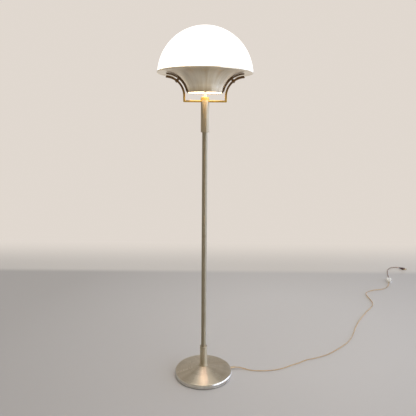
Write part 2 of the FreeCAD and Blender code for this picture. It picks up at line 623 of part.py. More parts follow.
bl, bn, br = d.bulb_low, d.bulb_neck, d.bulb_cap_rad
cap = [(4.0, bl - 0.9), (6.5, bl - 0.9), (br - 1.6, bl + 2.0)]
for k in range(4):                      # the rolled thread, as rounded ridges
    z = bl + 3.2 + 3.4 * k
    cap += [(br - 0.9, z), (br, z + 1.2), (br, z + 1.9)]
cap += [(br - 0.9, bl + 17.0), (br - 0.7, bn), (br - 1.2, bn), (br - 1.3, bl + 16.5), (br - 1.9, bl + 2.6), (4.0, bl - 0.3)]
keep(turned("bulb_cap", cap), "bulb_cap")
keep(turned("bulb_contact", [
    (0, bl - 1.9), (2.6, bl - 1.9), (3.6, bl - 1.2), (3.9, bl - 0.2), (3.9, bl + 1.0), (0, bl + 1.0)]), "bulb_contact")
bc, bR = d.bulb_ctr, d.bulb_rad


def glass_line(shrink):
    """Half outline of the bulb's glass, from the neck to the top."""
    pts = [(11.85 - shrink, bn - 6.0), (11.85 - shrink, bn + 0.2), (13.0 - shrink, bn + 5.0)]
    for a in (-49, -38, -26, -13, 0, 15, 30, 45, 58, 70, 81):
        ca, sn_ = math.cos(math.radians(a)), math.sin(math.radians(a))
        pts.append(((bR - shrink) * ca, bc + (bR - shrink) * sn_))
    return pts


outline = glass_line(0.0) + [(0, bc + bR)] + [(0, bc + bR - 0.9)] + glass_line(0.9)[::-1]
keep(turned("bulb_glass", outline), "bulb_glass")
keep(turned("bulb_mount", [
    (0, bn - 5.5), (8.5, bn - 5.5), (7.0, bn + 1), (3.2, bn + 8), (2.2, bn + 26), (3.0, bn + 31), (2.4, bn + 33),
    (1.0, bn + 36), (1.0, bn + 62), (0, bn + 62)]), "bulb_mount")


# -------------------------------------------------------------------------- cables
def route_wire(points, bends=None, share=0.45):
    """Straight runs joined by tangent arcs.  Each arc's radius is 0.45 of the shorter
    run beside it over the tangent of half the turn, unless bends gives one."""
    pts = [Vector(*p) for p in points]
    edges, radii = [], []
    last = pts[0]
    for i in range(1, len(pts) - 1):
        a, b, c = pts[i - 1], pts[i], pts[i + 1]
        u, w = b.sub(a), c.sub(b)
        lu, lw = u.Length, w.Length
        u.normalize()
        w.normalize()
        turn = math.acos(max(-1, min(1, u.dot(w))))
        reach = share * min(lu, lw)
        if bends and i in bends:
            reach = bends[i] * math.tan(turn / 2)
        radii.append((reach / math.tan(turn / 2), math.degrees(turn)))
        s = b.sub(u * reach)
        e = b.add(w * reach)
        mid_dir = w.sub(u).normalize()
        r = reach / math.tan(turn / 2)
        m = b.add(mid_dir * (r / math.cos(turn / 2) - r))
        edges.append(Part.LineSegment(last, s).toShape())
        edges.append(Part.Arc(s, m, e).toShape())
        last = e
    edges.append(Part.LineSegment(last, pts[-1]).toShape())
    return Part.Wire(edges), radii


def cable(label, points, rad, bends=None):
    """A round cable along its route, as one solid."""
    wire, radii = route_wire(points, bends)
    start = Vector(*points[0])
    way = Vector(*points[1]).sub(start)
    ring = Part.Wire([Part.Circle(start, way, rad).toShape()])
    body = wire.makePipeShell([ring], True, True)
    o = doc.addObject("Part::Feature", label)
    o.Shape = body
    runs = [Vector(*points[k + 1]).sub(Vector(*points[k])).Length for k in range(len(points) - 1)]
    print("%s: length %.1f mm, runs %.0f to %.0f, least radius %.1f, greatest turn %.0f, volume ratio %.5f" % (
        label, wire.Length, min(runs), max(runs), min(r for r, _ in radii), max(a for _, a in radii),
        body.Volume / (math.pi * rad * rad * wire.Length)))
    print("   radii " + " ".join("%.0f" % r for r, _ in radii))
    return keep(o, label)


ch = d.cable_ht.val
cable("inner_cable", [
    (d.base_rad.val * gx - 4.9 * gx, d.base_rad.val * gy - 4.9 * gy, ch),
    (0, 0, ch), (0, 0, d.holder_mid.val - 2.2)], d.inner_rad.val, {1: 9.0})

cr = d.cord_rad.val
lay = cr + 0.12                    # height of the cord's centre on the floor
noz = d.base_rad.val + 24.0
CORD_A = [
    (noz * gx, noz * gy, ch), (noz * gx + 17.0, noz * gy + 2.6, ch - 1.4), (191.0, 36.0, lay + 0.9),
    (215.0, 26.5, lay), (243.0, 20.8, lay), (285.0, 21.0, lay), (326.0, 26.5, lay),
    (368.0, 41.0, lay), (414.0, 69.0, lay), (463.0, 94.0, lay), (494.0, 118.0, lay), (534.0, 131.0, lay),
    (585.0, 153.0, lay), (621.0, 173.0, lay), (661.0, 206.0, lay), (704.0, 244.0, lay), (748.0, 286.0, lay),
    (792.0, 345.0, lay), (828.0, 414.0, lay), (857.0, 475.0, lay), (901.0, 550.0, lay), (948.0, 618.0, lay),
    (1000.0, 691.0, lay), (1052.0, 753.0, lay), (1081.0, 806.0, lay), (1086.0, 872.0, lay), (1085.0, 950.0, lay),
    (1104.0, 1000.0, lay), (1166.0, 1038.0, lay), (1238.0, 1054.0, lay), (1291.0, 1098.0, lay)]
st = math.radians(d.sw_turn.val)
sx, sy = math.cos(st), math.sin(st)
half = d.sw_len.val / 2
near = (d.sw_x.val - sx * half, d.sw_y.val - sy * half)
far = (d.sw_x.val + sx * half, d.sw_y.val + sy * half)
SW_CORD = 5.2                      # height of the cord's entry in the switch
CORD_A += [(near[0] - sx * 34, near[1] - sy * 34, lay), (near[0], near[1], SW_CORD)]
cable("cord_to_switch", CORD_A, cr)

pt = math.radians(d.plug_turn.val)
px, py = math.cos(pt), math.sin(pt)
PLUG_CORD = d.plug_thk.val / 2
CORD_B = [
    (far[0], far[1], SW_CORD), (far[0] + sx * 30, far[1] + sy * 30, lay), (1391.0, 1330.0, lay), (1412.0, 1393.0, lay),
    (1434.0, 1452.0, lay), (1463.0, 1499.0, lay), (1489.0, 1527.0, lay), (1517.0, 1540.0, lay), (1543.0, 1535.0, lay + 1.6),
    (d.plug_x.val - px * 4.0, d.plug_y.val - py * 4.0, PLUG_CORD)]
cable("cord_to_plug", CORD_B, cr)

# -------------------------------------------------------------------------- switch
# built about its own centre on the floor, length along X, then laid on the cord
sr = Rotation(Vector(0, 0, 1), d.sw_turn.val)
sl, sw = d.sw_len, d.sw_wid


def on_switch(obj, label):
    put(obj, d.sw_x, d.sw_y, 0, sr)
    return keep(obj, label)


Z = Vector(0, 0, 1)


def shell_blank(name, z0, z1, grow=0.0):
    """A rounded block between two heights; grow is taken off each side."""
    g = Q.of(grow)
    b = prim("Box", name + "_block", None, (sl * -0.5 + g, sw * -0.5 + g, z0),
             Length=sl - g * 2, Width=sw - g * 2, Height=Q.of(z1) - z0)
    return rounded(name + "_round", b, 9.0 - g.val, lambda e: is_dir(e, Z))


low_out = shell_blank("sw_low_out", 0, d.sw_split)
doc.recompute()
low_soft = rounded("sw_low_soft", low_out, 1.5,
                   lambda e: abs(e.BoundBox.ZMax) < 1e-6)
low_in = shell_blank("sw_low_in", d.sw_wall, d.sw_split + 1, d.sw_wall)
entry_low = prim("Cylinder", "sw_entry_low", Rotation(Vector(0, 1, 0), 90), (sl * -0.5 - 3, 0, SW_CORD),
                 Radius=cr + 0.05, Height=sl + 6)
boss_a = prim("Cylinder", "sw_boss_a", None, (22, 9.5, 0.5), Radius=2.6, Height=d.sw_split - 0.6)
boss_b = prim("Cylinder", "sw_boss_b", None, (-22, -9.5, 0.5), Radius=2.6, Height=d.sw_split - 0.6)
low_cut = cut("sw_low_cut", low_soft, low_in)
low_all = fuse("sw_low_all", low_cut, boss_a, boss_b)
bore_a = prim("Cylinder", "sw_bore_a", None, (22, 9.5, -1), Radius=1.3, Height=20)
bore_b = prim("Cylinder", "sw_bore_b", None, (-22, -9.5, -1), Radius=1.3, Height=20)
sink_a = prim("Cylinder", "sw_sink_a", None, (22, 9.5, -1), Radius=2.3, Height=3.0)
sink_b = prim("Cylinder", "sw_sink_b", None, (-22, -9.5, -1), Radius=2.3, Height=3.0)
on_switch(cut("switch_bottom", low_all, entry_low, bore_a, bore_b, sink_a, sink_b), "switch_bottom")

top_out = shell_blank("sw_top_out", d.sw_split + 0.05, d.sw_top)
doc.recompute()
top_soft = rounded("sw_top_soft", top_out, 3.0,
                   lambda e: abs(e.BoundBox.ZMin - d.sw_top.val) < 1e-6)
top_in = shell_blank("sw_top_in", d.sw_split - 1, d.sw_top - d.sw_wall, d.sw_wall)
window = prim("Box", "sw_window", None, (-11.4, -6.1, d.sw_split), Length=22.8, Width=12.2, Height=20)
top_cut = cut("sw_top_cut", top_soft, top_in)
lug_a = prim("Box", "sw_lug_a", None, (-2.6, 6.3, d.sw_split + 1.6), Length=5.2, Width=2.4, Height=d.sw_top - d.sw_split - 2.6)
lug_b = prim("Box", "sw_lug_b", None, (-2.6, -8.7, d.sw_split + 1.6), Length=5.2, Width=2.4, Height=d.sw_top - d.sw_split - 2.6)
pil_a = prim("Cylinder", "sw_pillar_a", None, (22, 9.5, d.sw_split + 0.05), Radius=2.6, Height=d.sw_top - d.sw_split - 1.5)
pil_b = prim("Cylinder", "sw_pillar_b", None, (-22, -9.5, d.sw_split + 0.05), Radius=2.6, Height=d.sw_top - d.sw_split - 1.5)
top_all = fuse("sw_top_all", top_cut, lug_a, lug_b, pil_a, pil_b)
pin_hole = prim("Cylinder", "sw_pin_hole", Rotation(Vector(1, 0, 0), 90), (0, 8.9, d.sw_pin_ht),
                Radius=d.sw_pin_rad + 0.02, Height=17.8)
pil_bore_a = prim("Cylinder", "sw_pil_bore_a", None, (22, 9.5, 0), Radius=1.15, Height=d.sw_top - 3)
pil_bore_b = prim("Cylinder", "sw_pil_bore_b", None, (-22, -9.5, 0), Radius=1.15, Height=d.sw_top - 3)
on_switch(cut("switch_top", top_all, window, pin_hole, pil_bore_a, pil_bore_b), "switch_top")

# rocker: a shallow V on top, tipped to its on side
rh = d.rock_half
ph = d.sw_pin_ht
rock = padded("rocker_pad", "XZ_Plane", [
    (-rh, 1.6), (-rh * 0.45, -2.6), (rh * 0.45, -2.6), (rh, 1.6), (rh + 0.2, 6.7), (rh - 0.5, 7.3), (0, 5.6), (0.5 - rh, 7.3),
    (-0.2 - rh, 6.7)], d.rock_wid)
rock_bore = prim("Cylinder", "rocker_bore", Rotation(Vector(1, 0, 0), 90), (0, 10, 0),
                 Radius=d.sw_pin_rad + 0.06, Height=20)
rocker = cut("switch_rocker", rock, rock_bore)
put(rocker, d.sw_x, d.sw_y, d.sw_pin_ht, sr.multiply(Rotation(Vector(0, 1, 0), d.rock_rest.val)))
keep(rocker, "switch_rocker")
on_switch(group("switch_pin_set", prim("Cylinder", "switch_pin_rod", Rotation(Vector(1, 0, 0), 90), (0, 8.7, d.sw_pin_ht),
                                       Radius=d.sw_pin_rad, Height=17.4)), "switch_pin")
con = []
for k, s in (("a", 1), ("b", -1)):
    base = prim("Box", "contact_base_" + k, None, (s * 15.5 - 5, -4, d.sw_wall + 0.3), Length=10, Width=8, Height=0.6)
    post = prim("Box", "contact_post_" + k, None, (s * 14 - 0.4, -3, d.sw_wall + 0.3), Length=0.8, Width=6, Height=6)
    con.append(fuse("contact_" + k, base, post))
bridge = prim("Box", "contact_bridge", None, (-5, -3.5, 8.2), Length=10, Width=7, Height=0.6)
on_switch(group("switch_contacts", *(con + [bridge])), "switch_contacts")
sc = []
for k, x, y in (("a", 22, 9.5), ("b", -22, -9.5)):
    sc.append(small_screw("switch_screw_" + k, x, y, 0.6, 1.1, 13.0, 2.2, 1.35))
on_switch(group("switch_screws", *sc), "switch_screws")

# ---------------------------------------------------------------------------- plug
pr = Rotation(Vector(0, 0, 1), d.plug_turn.val)
pl, pw, pth = d.plug_len, d.plug_wid, d.plug_thk


def on_plug(obj, label):
    put(obj, d.plug_x, d.plug_y, 0, pr)
    return keep(obj, label)


blank = doc.addObject("PartDesign::Body", "plug_blank")
sk = sketch(blank, "plug_outline", "XY_Plane", [
    (0, -6.2), (9, -7.2), (pl - 15, pw * -0.5), (pl - 6, pw * -0.5), (pl, pw * -0.5 + 1.2),
    (pl, pw * 0.5 - 1.2), (pl - 6, pw * 0.5), (pl - 15, pw * 0.5), (9, 7.2), (0, 6.2)])
padf = blank.newObject("PartDesign::Pad", "plug_pad")
padf.Profile = sk
padf.Length = pth.val
padf.setExpression("Length", pth.ex)
doc.recompute()
soft = rounded("plug_soft", blank, 2.6, lambda e: (abs(e.BoundBox.ZMax) < 1e-6 or abs(e.BoundBox.ZMin - pth.val) < 1e-6)
               and not (abs(e.BoundBox.XMin - pl.val) < 1e-6) and not (abs(e.BoundBox.XMax) < 1e-6))
tail = prim("Cone", "plug_tail", Rotation(Vector(0, 1, 0), 90), (-4, 0, pth * 0.5), Radius1=3.9, Radius2=5.6, Height=8)
body = fuse("plug_all", soft, tail)
pin_holes = [prim("Cylinder", "plug_pin_hole_" + k, Rotation(Vector(0, 1, 0), 90), (pl - 8, d.pin_gap * 0.5 * s, pth * 0.5),
                  Radius=d.pin_rad + 0.01, Height=12) for k, s in (("a", 1), ("b", -1))]
on_plug(cut("plug_body", body, *pin_holes), "plug_body")
pins = []
for k, s in (("a", 1), ("b", -1)):
    b = turned("plug_pin_" + k, [(0, 0), (d.pin_rad, 0), (d.pin_rad, d.pin_len + 6.6), (d.pin_rad - 0.5, d.pin_len + 7.6),
                                 (d.pin_rad - 1.2, d.pin_len + 8.0), (0, d.pin_len + 8.0)])
    put(b, pl - 8, d.pin_gap * 0.5 * s, pth * 0.5, Rotation(Vector(0, 1, 0), 90))
    pins.append(b)
on_plug(group("plug_pins", *pins), "plug_pins")

# ------------------------------------------------------------------ check and write
doc.recompute()
bad = []
for o in doc.Objects:
    state = getattr(o, "State", [])
    if "Invalid" in state or "Error" in state:
        bad.append("%s (%s): %s" % (o.Name, o.Label, state))
for o in PARTS:
    s = o.Shape
    if s.isNull() or not s.isValid():
        bad.append("shape of " + o.Label)
    elif not s.Solids:
        bad.append("no solid in " + o.Label)
if bad:
    raise RuntimeError("not built: " + "; ".join(bad))

os.makedirs("parts", exist_ok=True)
total = 0.0
for o in PARTS:
    s = o.Shape
    bb = s.BoundBox
    print("%-20s solids %d  vol %9.2f cm3  x %.1f..%.1f  y %.1f..%.1f  z %.1f..%.1f" % (
        o.Label, len(s.Solids), s.Volume / 1000.0, bb.XMin, bb.XMax, bb.YMin, bb.YMax, bb.ZMin, bb.ZMax))
    s.exportStep("parts/%s.step" % o.Label)
print("%d sub-parts" % len(PARTS))
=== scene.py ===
import json
import math
import bpy
import bmesh
from mathutils import Matrix, Vector


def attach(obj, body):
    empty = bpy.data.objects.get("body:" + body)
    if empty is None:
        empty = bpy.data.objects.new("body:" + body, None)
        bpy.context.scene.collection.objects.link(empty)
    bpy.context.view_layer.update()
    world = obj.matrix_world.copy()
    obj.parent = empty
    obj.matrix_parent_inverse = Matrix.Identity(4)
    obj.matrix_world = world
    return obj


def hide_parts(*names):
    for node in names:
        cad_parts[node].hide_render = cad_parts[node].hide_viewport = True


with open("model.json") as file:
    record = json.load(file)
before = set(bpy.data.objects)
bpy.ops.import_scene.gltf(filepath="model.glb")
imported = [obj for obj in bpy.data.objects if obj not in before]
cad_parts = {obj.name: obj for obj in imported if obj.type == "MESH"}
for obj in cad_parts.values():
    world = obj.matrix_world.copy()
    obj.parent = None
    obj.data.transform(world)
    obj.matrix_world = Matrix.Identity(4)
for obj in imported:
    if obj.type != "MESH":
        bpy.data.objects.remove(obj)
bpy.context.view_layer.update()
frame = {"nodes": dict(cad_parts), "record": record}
scene = bpy.context.scene
MM = 0.001


# ------------------------------------------------------------------ small helpers
def obj_from(name, mesh):
    o = bpy.data.objects.new(name, mesh)
    scene.collection.objects.link(o)
    return o


def finish_mesh(me, angle=32.0):
    """Smooth shading with creases left sharp."""
    for p in me.polygons:
        p.use_smooth = True
    me.set_sharp_from_angle(angle=math.radians(angle))
    me.update()


def piece(name, me, body, mat, stands_for=(), angle=32.0):
    finish_mesh(me, angle)
    o = obj_from(name, me)
    if mat:
        me.materials.clear()
        me.materials.append(mat)
    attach(o, body)
    if stands_for:
        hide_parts(*stands_for)
    return o


def soften(pts, rad, n=4, closed=True):
    """Rounds the corners of an outline.  pts are (a, b) or (a, b, radius)."""
    out = []
    m = len(pts)
    for i, p in enumerate(pts):
        r = p[2] if len(p) > 2 else rad
        if not closed and i in (0, m - 1):
            out.append((p[0], p[1]))
            continue
        a, b, c = Vector(pts[i - 1][:2]), Vector(p[:2]), Vector(pts[(i + 1) % m][:2])
        u, w = a - b, c - b
        lu, lw = u.length, w.length
        if r <= 0 or lu < 1e-9 or lw < 1e-9:
            out.append((b.x, b.y))
            continue
        u.normalize()
        w.normalize()
        ang = math.acos(max(-1, min(1, u.dot(w))))
        if ang > math.radians(172):
            out.append((b.x, b.y))
            continue
        reach = min(r / math.tan(ang / 2), 0.45 * lu, 0.45 * lw)
        r = reach * math.tan(ang / 2)
        s, e = b + u * reach, b + w * reach
        ctr = b + (u + w).normalized() * (r / math.sin(ang / 2))
        a0 = math.atan2(s.y - ctr.y, s.x - ctr.x)
        a1 = math.atan2(e.y - ctr.y, e.x - ctr.x)
        d = (a1 - a0 + math.pi) % (2 * math.pi) - math.pi
        for k in range(n + 1):
            t = a0 + d * k / n
            out.append((ctr.x + r * math.cos(t), ctr.y + r * math.sin(t)))
    return out


def lathe_mesh(name, prof, seg=160, wobble=None):
    """Turns a closed outline of (radius, height) in millimetres about Z."""
    bm = bmesh.new()
    rings = []
    for k in range(seg):
        t = 2 * math.pi * k / seg
        c, s = math.cos(t), math.sin(t)
        ring = []
        for (r, z) in prof:
            if wobble:
                r, z = wobble(r, z, t)
            ring.append(bm.verts.new((r * c * MM, r * s * MM, z * MM)))
        rings.append(ring)
    n = len(prof)
    for k in range(seg):
        A, B = rings[k], rings[(k + 1) % seg]
        for i in range(n):
            j = (i + 1) % n
            if prof[i][0] < 1e-6 and prof[j][0] < 1e-6:
                continue
            bm.faces.new((A[i], B[i], B[j], A[j]))
    bmesh.ops.remove_doubles(bm, verts=bm.verts, dist=1e-6)
    bmesh.ops.dissolve_degenerate(bm, edges=bm.edges, dist=1e-7)
    bmesh.ops.recalc_face_normals(bm, faces=bm.faces)
    me = bpy.data.meshes.new(name)
    bm.to_mesh(me)
    bm.free()
    return me


def lathe(name, prof, body, mat, nodes, seg=160, rad=0.3, angle=32.0, wobble=None, n=4):
    me = lathe_mesh(name, soften(prof, rad, n), seg, wobble)
    return piece(name, me, body, mat, nodes, angle)


def arc_pts(cx, cy, r, a0, a1, n):
    """Points of an arc, angles in degrees."""
    return [(cx + r * math.cos(math.radians(a0 + (a1 - a0) * k / n)),
             cy + r * math.sin(math.radians(a0 + (a1 - a0) * k / n))) for k in range(n + 1)]


# ------------------------------------------------------------- more mesh helpers
def cook(me, *steps):
    """Runs modifiers on a mesh and returns the result.  steps are (kind, settings)."""
    o = obj_from("work", me)
    for kind, props in steps:
        m = o.modifiers.new(kind, kind)
        for k, q in props.items():
            setattr(m, k, q)
    bpy.context.view_layer.update()
    dg = bpy.context.evaluated_depsgraph_get()
    out = bpy.data.meshes.new_from_object(o.evaluated_get(dg))
    name = me.name
    bpy.data.objects.remove(o)
    bpy.data.meshes.remove(me)
    out.name = name
    return out


def carve(me, *cutters):
    """Cuts other meshes out of a mesh."""
    tools = [obj_from("cutter_%d" % k, c) for k, c in enumerate(cutters)]
    out = cook(me, *[("BOOLEAN", {"operation": "DIFFERENCE", "solver": "EXACT", "object": t}) for t in tools])
    for t in tools:
        m = t.data
        bpy.data.objects.remove(t)
        bpy.data.meshes.remove(m)
    return out


def bevelled(me, width, segs=3, angle=35.0):
    return cook(me, ("BEVEL", {"width": width * MM, "segments": segs, "limit_method": "ANGLE",
                               "angle_limit": math.radians(angle)}))


def loft(name, rings, closed=True):
    """Joins rings of points (millimetres) into a skin, with its ends filled."""
    bm = bmesh.new()
    rows = [[bm.verts.new(Vector(p) * MM) for p in r] for r in rings]
    n = len(rows[0])
    for A, B in zip(rows, rows[1:]):
        for i in range(n):
            j = (i + 1) % n
            bm.faces.new((A[i], A[j], B[j], B[i]))
    if closed:
        bm.faces.new(list(reversed(rows[0])))
        bm.faces.new(rows[-1])
    bmesh.ops.recalc_face_normals(bm, faces=bm.faces)
    me = bpy.data.meshes.new(name)
    bm.to_mesh(me)
    bm.free()
    return me


def moved(me, mat):
    me.transform(mat)
    me.update()
    return me


def at(x, y, z, rot=None):
    m = Matrix.Translation((x * MM, y * MM, z * MM))
    return m @ rot if rot is not None else m


def facing(dx, dy, dz):
    """Rotation that takes +Z to a direction."""
    return Vector((0, 0, 1)).rotation_difference(Vector((dx, dy, dz))).to_matrix().to_4x4()


def block(name, x0, x1, y0, y1, z0, z1):
    return loft(name, [[(x0, y0, z), (x1, y0, z), (x1, y1, z), (x0, y1, z)] for z in (z0, z1)])


def rod_mesh(name, r, z0, z1, seg=32):
    return loft(name, [[(r * math.cos(2 * math.pi * k / seg), r * math.sin(2 * math.pi * k / seg), z) for k in range(seg)]
                       for z in (z0, z1)])


def merged(name, *meshes):
    out = join_meshes(name, meshes)
    for m in meshes:
        bpy.data.meshes.remove(m)
    return out


def join_meshes(name, meshes):
    bm = bmesh.new()
    for me in meshes:
        bm.from_mesh(me)
    out = bpy.data.meshes.new(name)
    bm.to_mesh(out)
    bm.free()
    return out


def bar_mesh(name, stations, half, c, n=3):
    """A flat bar along a line of stations ((x, z) near, (x, z) far), half its width in Y,
    with its long edges and its ends rounded by c."""
    def ring(A, B, push, inset):
        th = (B - A).length
        u = (B - A) / th
        d = Vector((u.y, -u.x)) * push
        k = max(c - inset, 0.05)
        out = []
        for cs, cy, a0 in ((th - inset - k, half - inset - k, 0), (inset + k, half - inset - k, 90),
                           (inset + k, -(half - inset - k), 180), (th - inset - k, -(half - inset - k), 270)):
            for i in range(n + 1):
                t = math.radians(a0 + 90 * i / n)
                p = A + u * (cs + k * math.cos(t)) + d
                out.append((p.x, cy + k * math.sin(t), p.y))
        return out
    st = [(Vector(a), Vector(b)) for a, b in stations]
    rings = []
    # which way is out at the first end
    mid0 = (st[0][0] + st[0][1]) / 2
    mid1 = (st[1][0] + st[1][1]) / 2
    u = (st[0][1] - st[0][0]).normalized()
    sgn = 1.0 if Vector((u.y, -u.x)).dot(mid0 - mid1) > 0 else -1.0
    for i in range(n, 0, -1):
        t = math.radians(90 * i / n)
        rings.append(ring(st[0][0], st[0][1], sgn * c * math.sin(t), c * (1 - math.cos(t))))
    for a, b in st:
        rings.append(ring(a, b, 0.0, 0.0))
    mid0 = (st[-1][0] + st[-1][1]) / 2
    mid1 = (st[-2][0] + st[-2][1]) / 2
    u = (st[-1][1] - st[-1][0]).normalized()
    sgn = 1.0 if Vector((u.y, -u.x)).dot(mid0 - mid1) > 0 else -1.0
    for i in range(1, n + 1):
        t = math.radians(90 * i / n)
        rings.append(ring(st[-1][0], st[-1][1], sgn * c * math.sin(t), c * (1 - math.cos(t))))
    return loft(name, rings)


def screw_mesh(name, rh, hh, rs, ls, slot_w, slot_d, seg=40):
    """Slotted pan-head screw, its head's top at the origin, the shank along +Z."""
    prof = [(0.0, 0.0)]
    for k in range(1, 7):
        t = math.radians(15.0 * k)
        prof.append((rh * math.sin(t), hh * 0.62 * (1 - math.cos(t))))
    prof += [(rh, hh - 0.15), (rh - 0.15, hh), (rs, hh), (rs, ls - 0.4), (rs - 0.4, ls), (0.0, ls)]
    me = lathe_mesh(name, prof, seg)
    return carve(me, block("slot", -rh - 1, rh + 1, -slot_w / 2, slot_w / 2, -1.0, slot_d))


def threaded_mesh(name, rows, seg=48, pitch=1.0, depth=0.35, bore=None):
    """A turned part with a true helical thread.  rows are (radius, z, thread share 0..1)."""
    bm = bmesh.new()
    grid = []
    for r, z, f in rows:
        row = []
        for k in range(seg):
            t = 2 * math.pi * k / seg
            ph = (z / pitch - k / seg) % 1.0
            tri = abs(2 * ph - 1)
            q = r - depth * f * tri
            row.append(bm.verts.new((q * math.cos(t) * MM, q * math.sin(t) * MM, z * MM)))
        grid.append(row)
    if bore is not None:
        for z in (rows[-1][1], rows[0][1]):
            grid.append([bm.verts.new((bore * math.cos(2 * math.pi * k / seg) * MM,
                                       bore * math.sin(2 * math.pi * k / seg) * MM, z * MM)) for k in range(seg)])
        grid.append(grid[0])
    for A, B in zip(grid, grid[1:]):
        for k in range(seg):
            j = (k + 1) % seg
            bm.faces.new((A[k], A[j], B[j], B[k]))
    if bore is None:
        bm.faces.new(list(reversed(grid[0])))
        bm.faces.new(grid[-1])
    bmesh.ops.recalc_face_normals(bm, faces=bm.faces)
    me = bpy.data.meshes.new(name)
    bm.to_mesh(me)
    bm.free()
    return me


def curve_through(pts, n=6):
    """Catmull-Rom line through (a, b) points."""
    P = [Vector(p) for p in pts]
    out = []
    for i in range(len(P) - 1):
        a, b, c, e = P[max(i - 1, 0)], P[i], P[i + 1], P[min(i + 2, len(P) - 1)]
        for k in range(n):
            t = k / n
            q = 0.5 * ((2 * b) + (c - a) * t + (2 * a - 5 * b + 4 * c - e) * t * t + (3 * b - a - 3 * c + e) * t ** 3)
            out.append((q.x, q.y))
    out.append(tuple(P[-1]))
    return out


def round_rect(hx, hy, r, n=7):
    """Outline of a rounded rectangle about the origin."""
    out = []
    for cx, cy, a0 in ((hx - r, hy - r, 0), (r - hx, hy - r, 90), (r - hx, r - hy, 180), (hx - r, r - hy, 270)):
        for k in range(n + 1):
            t = math.radians(a0 + 90 * k / n)
            out.append((cx + r * math.cos(t), cy + r * math.sin(t)))
    return out


def rounded_block(name, hx, hy, r, levels):
    """A rounded block from levels of (z, inset)."""
    return loft(name, [[(x, y, z) for x, y in round_rect(hx - q, hy - q, max(r - q, 0.3))] for z, q in levels])


# --------------------------------------------------------------------- node trees
class Tree:
    """A few lines to build a material's nodes."""

    def __init__(self, name):
        self.mat = bpy.data.materials.new(name)
        self.mat.use_nodes = True
        self.nt = self.mat.node_tree
        self.nt.nodes.clear()
        self.out = self.nt.nodes.new("ShaderNodeOutputMaterial")
        self.bsdf = self.nt.nodes.new("ShaderNodeBsdfPrincipled")
        self.link(self.bsdf.outputs[0], self.out.inputs["Surface"])

    def link(self, a, b):
        self.nt.links.new(a, b)

    def node(self, kind, **props):
        n = self.nt.nodes.new(kind)
        for k, v in props.items():
            setattr(n, k, v)
        return n

    def feed(self, n, sock, v):
        if isinstance(v, bpy.types.NodeSocket):
            self.link(v, n.inputs[sock])
        else:
            n.inputs[sock].default_value = v

    def math(self, op, a, b=0.0, clamp=False):
        n = self.node("ShaderNodeMath", operation=op, use_clamp=clamp)
        self.feed(n, 0, a)
        self.feed(n, 1, b)
        return n.outputs[0]

    def vmath(self, op, a, b=(0, 0, 0)):
        n = self.node("ShaderNodeVectorMath", operation=op)
        self.feed(n, 0, a)
        self.feed(n, 1, b)
        return n.outputs["Value"] if op == "LENGTH" else n.outputs[0]

    def combine(self, x, y, z):
        n = self.node("ShaderNodeCombineXYZ")
        for i, v in enumerate((x, y, z)):
            self.feed(n, i, v)
        return n.outputs[0]

    def where(self):
        """Object coordinates and their parts."""
        tc = self.node("ShaderNodeTexCoord")
        sp = self.node("ShaderNodeSeparateXYZ")
        self.link(tc.outputs["Object"], sp.inputs[0])
        return tc.outputs["Object"], sp.outputs[0], sp.outputs[1], sp.outputs[2]

    def noise(self, vec, scale, detail=2.0, rough=0.5, distort=0.0):
        n = self.node("ShaderNodeTexNoise")
        self.feed(n, "Vector", vec)
        n.inputs["Scale"].default_value = scale
        n.inputs["Detail"].default_value = detail
        n.inputs["Roughness"].default_value = rough
        n.inputs["Distortion"].default_value = distort
        return n.outputs["Fac"]

    def span(self, v, a, b, c, d):
        n = self.node("ShaderNodeMapRange")
        self.feed(n, 0, v)
        for i, x in enumerate((a, b, c, d)):
            n.inputs[i + 1].default_value = x
        return n.outputs[0]

    def ramp(self, v, stops):
        n = self.node("ShaderNodeValToRGB")
        self.feed(n, 0, v)
        e = n.color_ramp.elements
        while len(e) > 1:
            e.remove(e[0])
        e[0].position, e[0].color = stops[0][0], (*stops[0][1], 1)
        for p, c in stops[1:]:
            k = e.new(p)
            k.color = (*c, 1)
        return n.outputs[0]

    def mix(self, f, a, b, kind="MIX"):
        n = self.node("ShaderNodeMix", data_type="RGBA", blend_type=kind)
        self.feed(n, 0, f)
        for i, v in ((6, a), (7, b)):
            if isinstance(v, tuple) and len(v) == 3:
                v = (*v, 1)
            self.feed(n, i, v)
        return n.outputs[2]

    def bump(self, height, dist, strength=1.0):
        n = self.node("ShaderNodeBump")
        self.feed(n, "Height", height)
        n.inputs["Distance"].default_value = dist
        n.inputs["Strength"].default_value = strength
        self.link(n.outputs[0], self.bsdf.inputs["Normal"])
        return n

    def set(self, **kw):
        names = {"color": "Base Color", "metal": "Metallic", "rough": "Roughness", "aniso": "Anisotropic",
                 "rot": "Anisotropic Rotation", "coat": "Coat Weight", "coat_rough": "Coat Roughness",
                 "ior": "IOR", "trans": "Transmission Weight", "emit": "Emission Color",
                 "power": "Emission Strength", "sheen": "Sheen Weight", "sss": "Subsurface Weight",
                 "sss_scale": "Subsurface Scale", "spec": "Specular IOR Level", "alpha": "Alpha"}
        for k, v in kw.items():
            s = self.bsdf.inputs[names[k]]
            if isinstance(v, bpy.types.NodeSocket):
                self.link(v, s)
            elif isinstance(v, tuple) and len(v) == 3:
                s.default_value = (*v, 1)
            else:
                s.default_value = v
        return self


